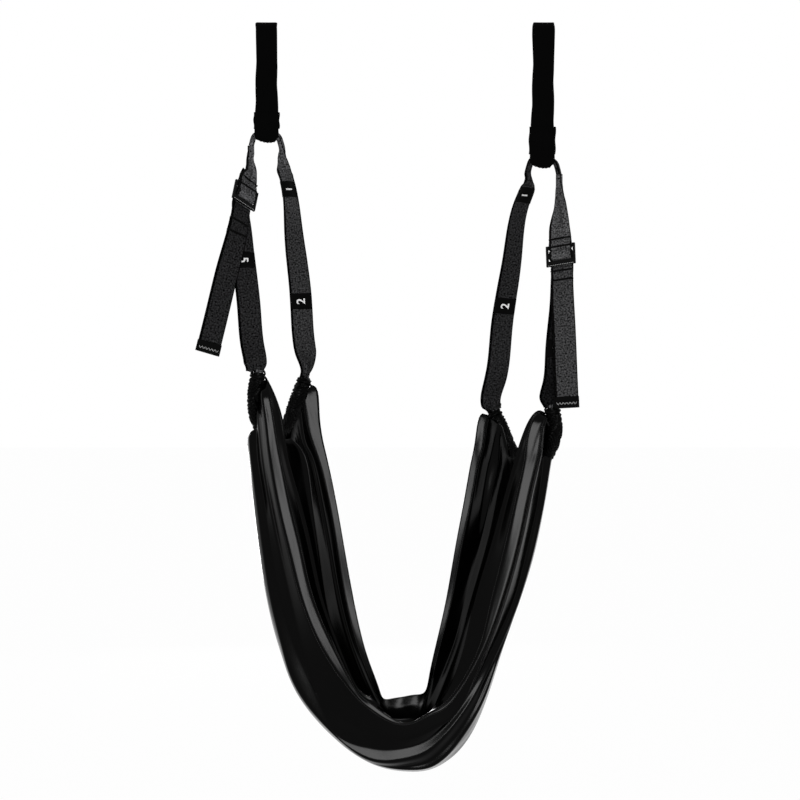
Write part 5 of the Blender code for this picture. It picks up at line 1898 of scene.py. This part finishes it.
@dataclass
class Studio:
    """The photograph's camera, soft plain light and a pale floor."""

    lit_point: tuple = (0.0, 0.0, -0.65)
    lamps: tuple = (Lamp("front_softbox", (0.05, -3.6, -0.85), (0.8, 1.8), 120.0),
                    Lamp("back_softbox", (-0.3, 3.4, -0.6), (1.4, 1.4), 60.0),
                    Lamp("left_softbox", (-3.2, 0.4, -0.2), (1.6, 1.6), 8.0),
                    Lamp("right_softbox", (3.2, 0.4, -0.2), (1.6, 1.6), 8.0))
    fill_strength: float = 0.05
    floor_half: float = 30.0
    floor_gap: float = 0.25
    floor_glow: float = 0.985
    floor_colour: str = "8A8A8A"

    def build(self) -> None:
        """Make the camera, the lamps, the world and the floor."""
        scene = bpy.context.scene
        scene.view_settings.view_transform = "Standard"
        lens = bpy.data.cameras.new("photo_view")
        lens.sensor_width = SENSOR
        lens.sensor_fit = "HORIZONTAL"
        lens.lens = SENSOR * VIEW_DISTANCE / VIEW_WIDTH
        camera = bpy.data.objects.new("photo_view", lens)
        camera.location = (VIEW_CENTRE[0], -VIEW_DISTANCE, VIEW_CENTRE[1])
        camera.rotation_euler = (math.pi / 2.0, 0.0, 0.0)
        scene.collection.objects.link(camera)
        scene.camera = camera
        for lamp in self.lamps:
            lamp.build(self.lit_point)
        self.sky()
        self.floor()

    @staticmethod
    def shown_share(tree: Tree) -> bpy.types.NodeSocket:
        """One for what the camera sees, also in a gloss or through glass, else nought.

        Args:
            tree: the node helper.

        Returns:
            The socket, the most of the three rays' own.
        """
        ray = tree.add("ShaderNodeLightPath", {}).node.outputs
        seen = tree.math("MAXIMUM", ray["Is Camera Ray"], ray["Is Glossy Ray"])
        return tree.math("MAXIMUM", seen, ray["Is Transmission Ray"])

    def sky(self) -> None:
        """White to the camera, a soft grey for the light that reaches the object."""
        world = bpy.data.worlds.new("pale_studio")
        bpy.context.scene.world = world
        world.use_nodes = True
        tree = Tree(world.node_tree)
        white = (1.0, 1.0, 1.0, 1.0)
        shown = tree.nodes["Background"]
        shown.inputs["Color"].default_value = white
        shown.inputs["Strength"].default_value = 1.0
        lit = tree.add("ShaderNodeBackground", {"Color": white, "Strength": self.fill_strength})
        mixed = tree.add("ShaderNodeMixShader", {0: self.shown_share(tree), 1: lit,
                                                 2: shown.outputs[0]})
        tree.link(mixed, tree.nodes["World Output"].inputs[0])

    def floor(self) -> None:
        """A pale floor under the sling: mostly white to the camera, with a faint shadow."""
        half, low = self.floor_half, CAD_BOX[0][2] - self.floor_gap
        mesh = bpy.data.meshes.new("pale_floor")
        mesh.from_pydata([(-half, -half, low), (half, -half, low), (half, half, low),
                          (-half, half, low)], [], [(0, 1, 2, 3)])
        floor = bpy.data.objects.new("pale_floor", mesh)
        bpy.context.scene.collection.objects.link(floor)
        material = bpy.data.materials.new("pale floor")
        material.use_nodes = True
        tree = Tree(material.node_tree)
        shader = tree.nodes["Principled BSDF"]
        shader.inputs["Base Color"].default_value = linear(self.floor_colour)
        shader.inputs["Roughness"].default_value = 0.9
        share = tree.math("MULTIPLY", self.shown_share(tree), self.floor_glow)
        mixed = tree.add("ShaderNodeMixShader", {0: share, 1: shader.outputs[0],
                                                 2: tree.add("ShaderNodeEmission", {})})
        tree.link(mixed, tree.nodes["Material Output"].inputs[0])
        mesh.materials.append(material)


def main() -> None:
    """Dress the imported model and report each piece."""
    logging.basicConfig(level=logging.INFO)
    Studio().build()
    left, right = Layout(LEFT), Layout(RIGHT)
    for side in (left, right):
        for part in (Hanger, Strapping, Gather, Metalwork):
            part(side).build()
    Cloth(left, right).build()
    for obj in bpy.context.scene.objects:
        if obj.type == "MESH" and "metres" in obj.data.attributes:
            logging.info("%s: %d faces", obj.name, len(obj.data.polygons))


if __name__ == "__main__":
    main()
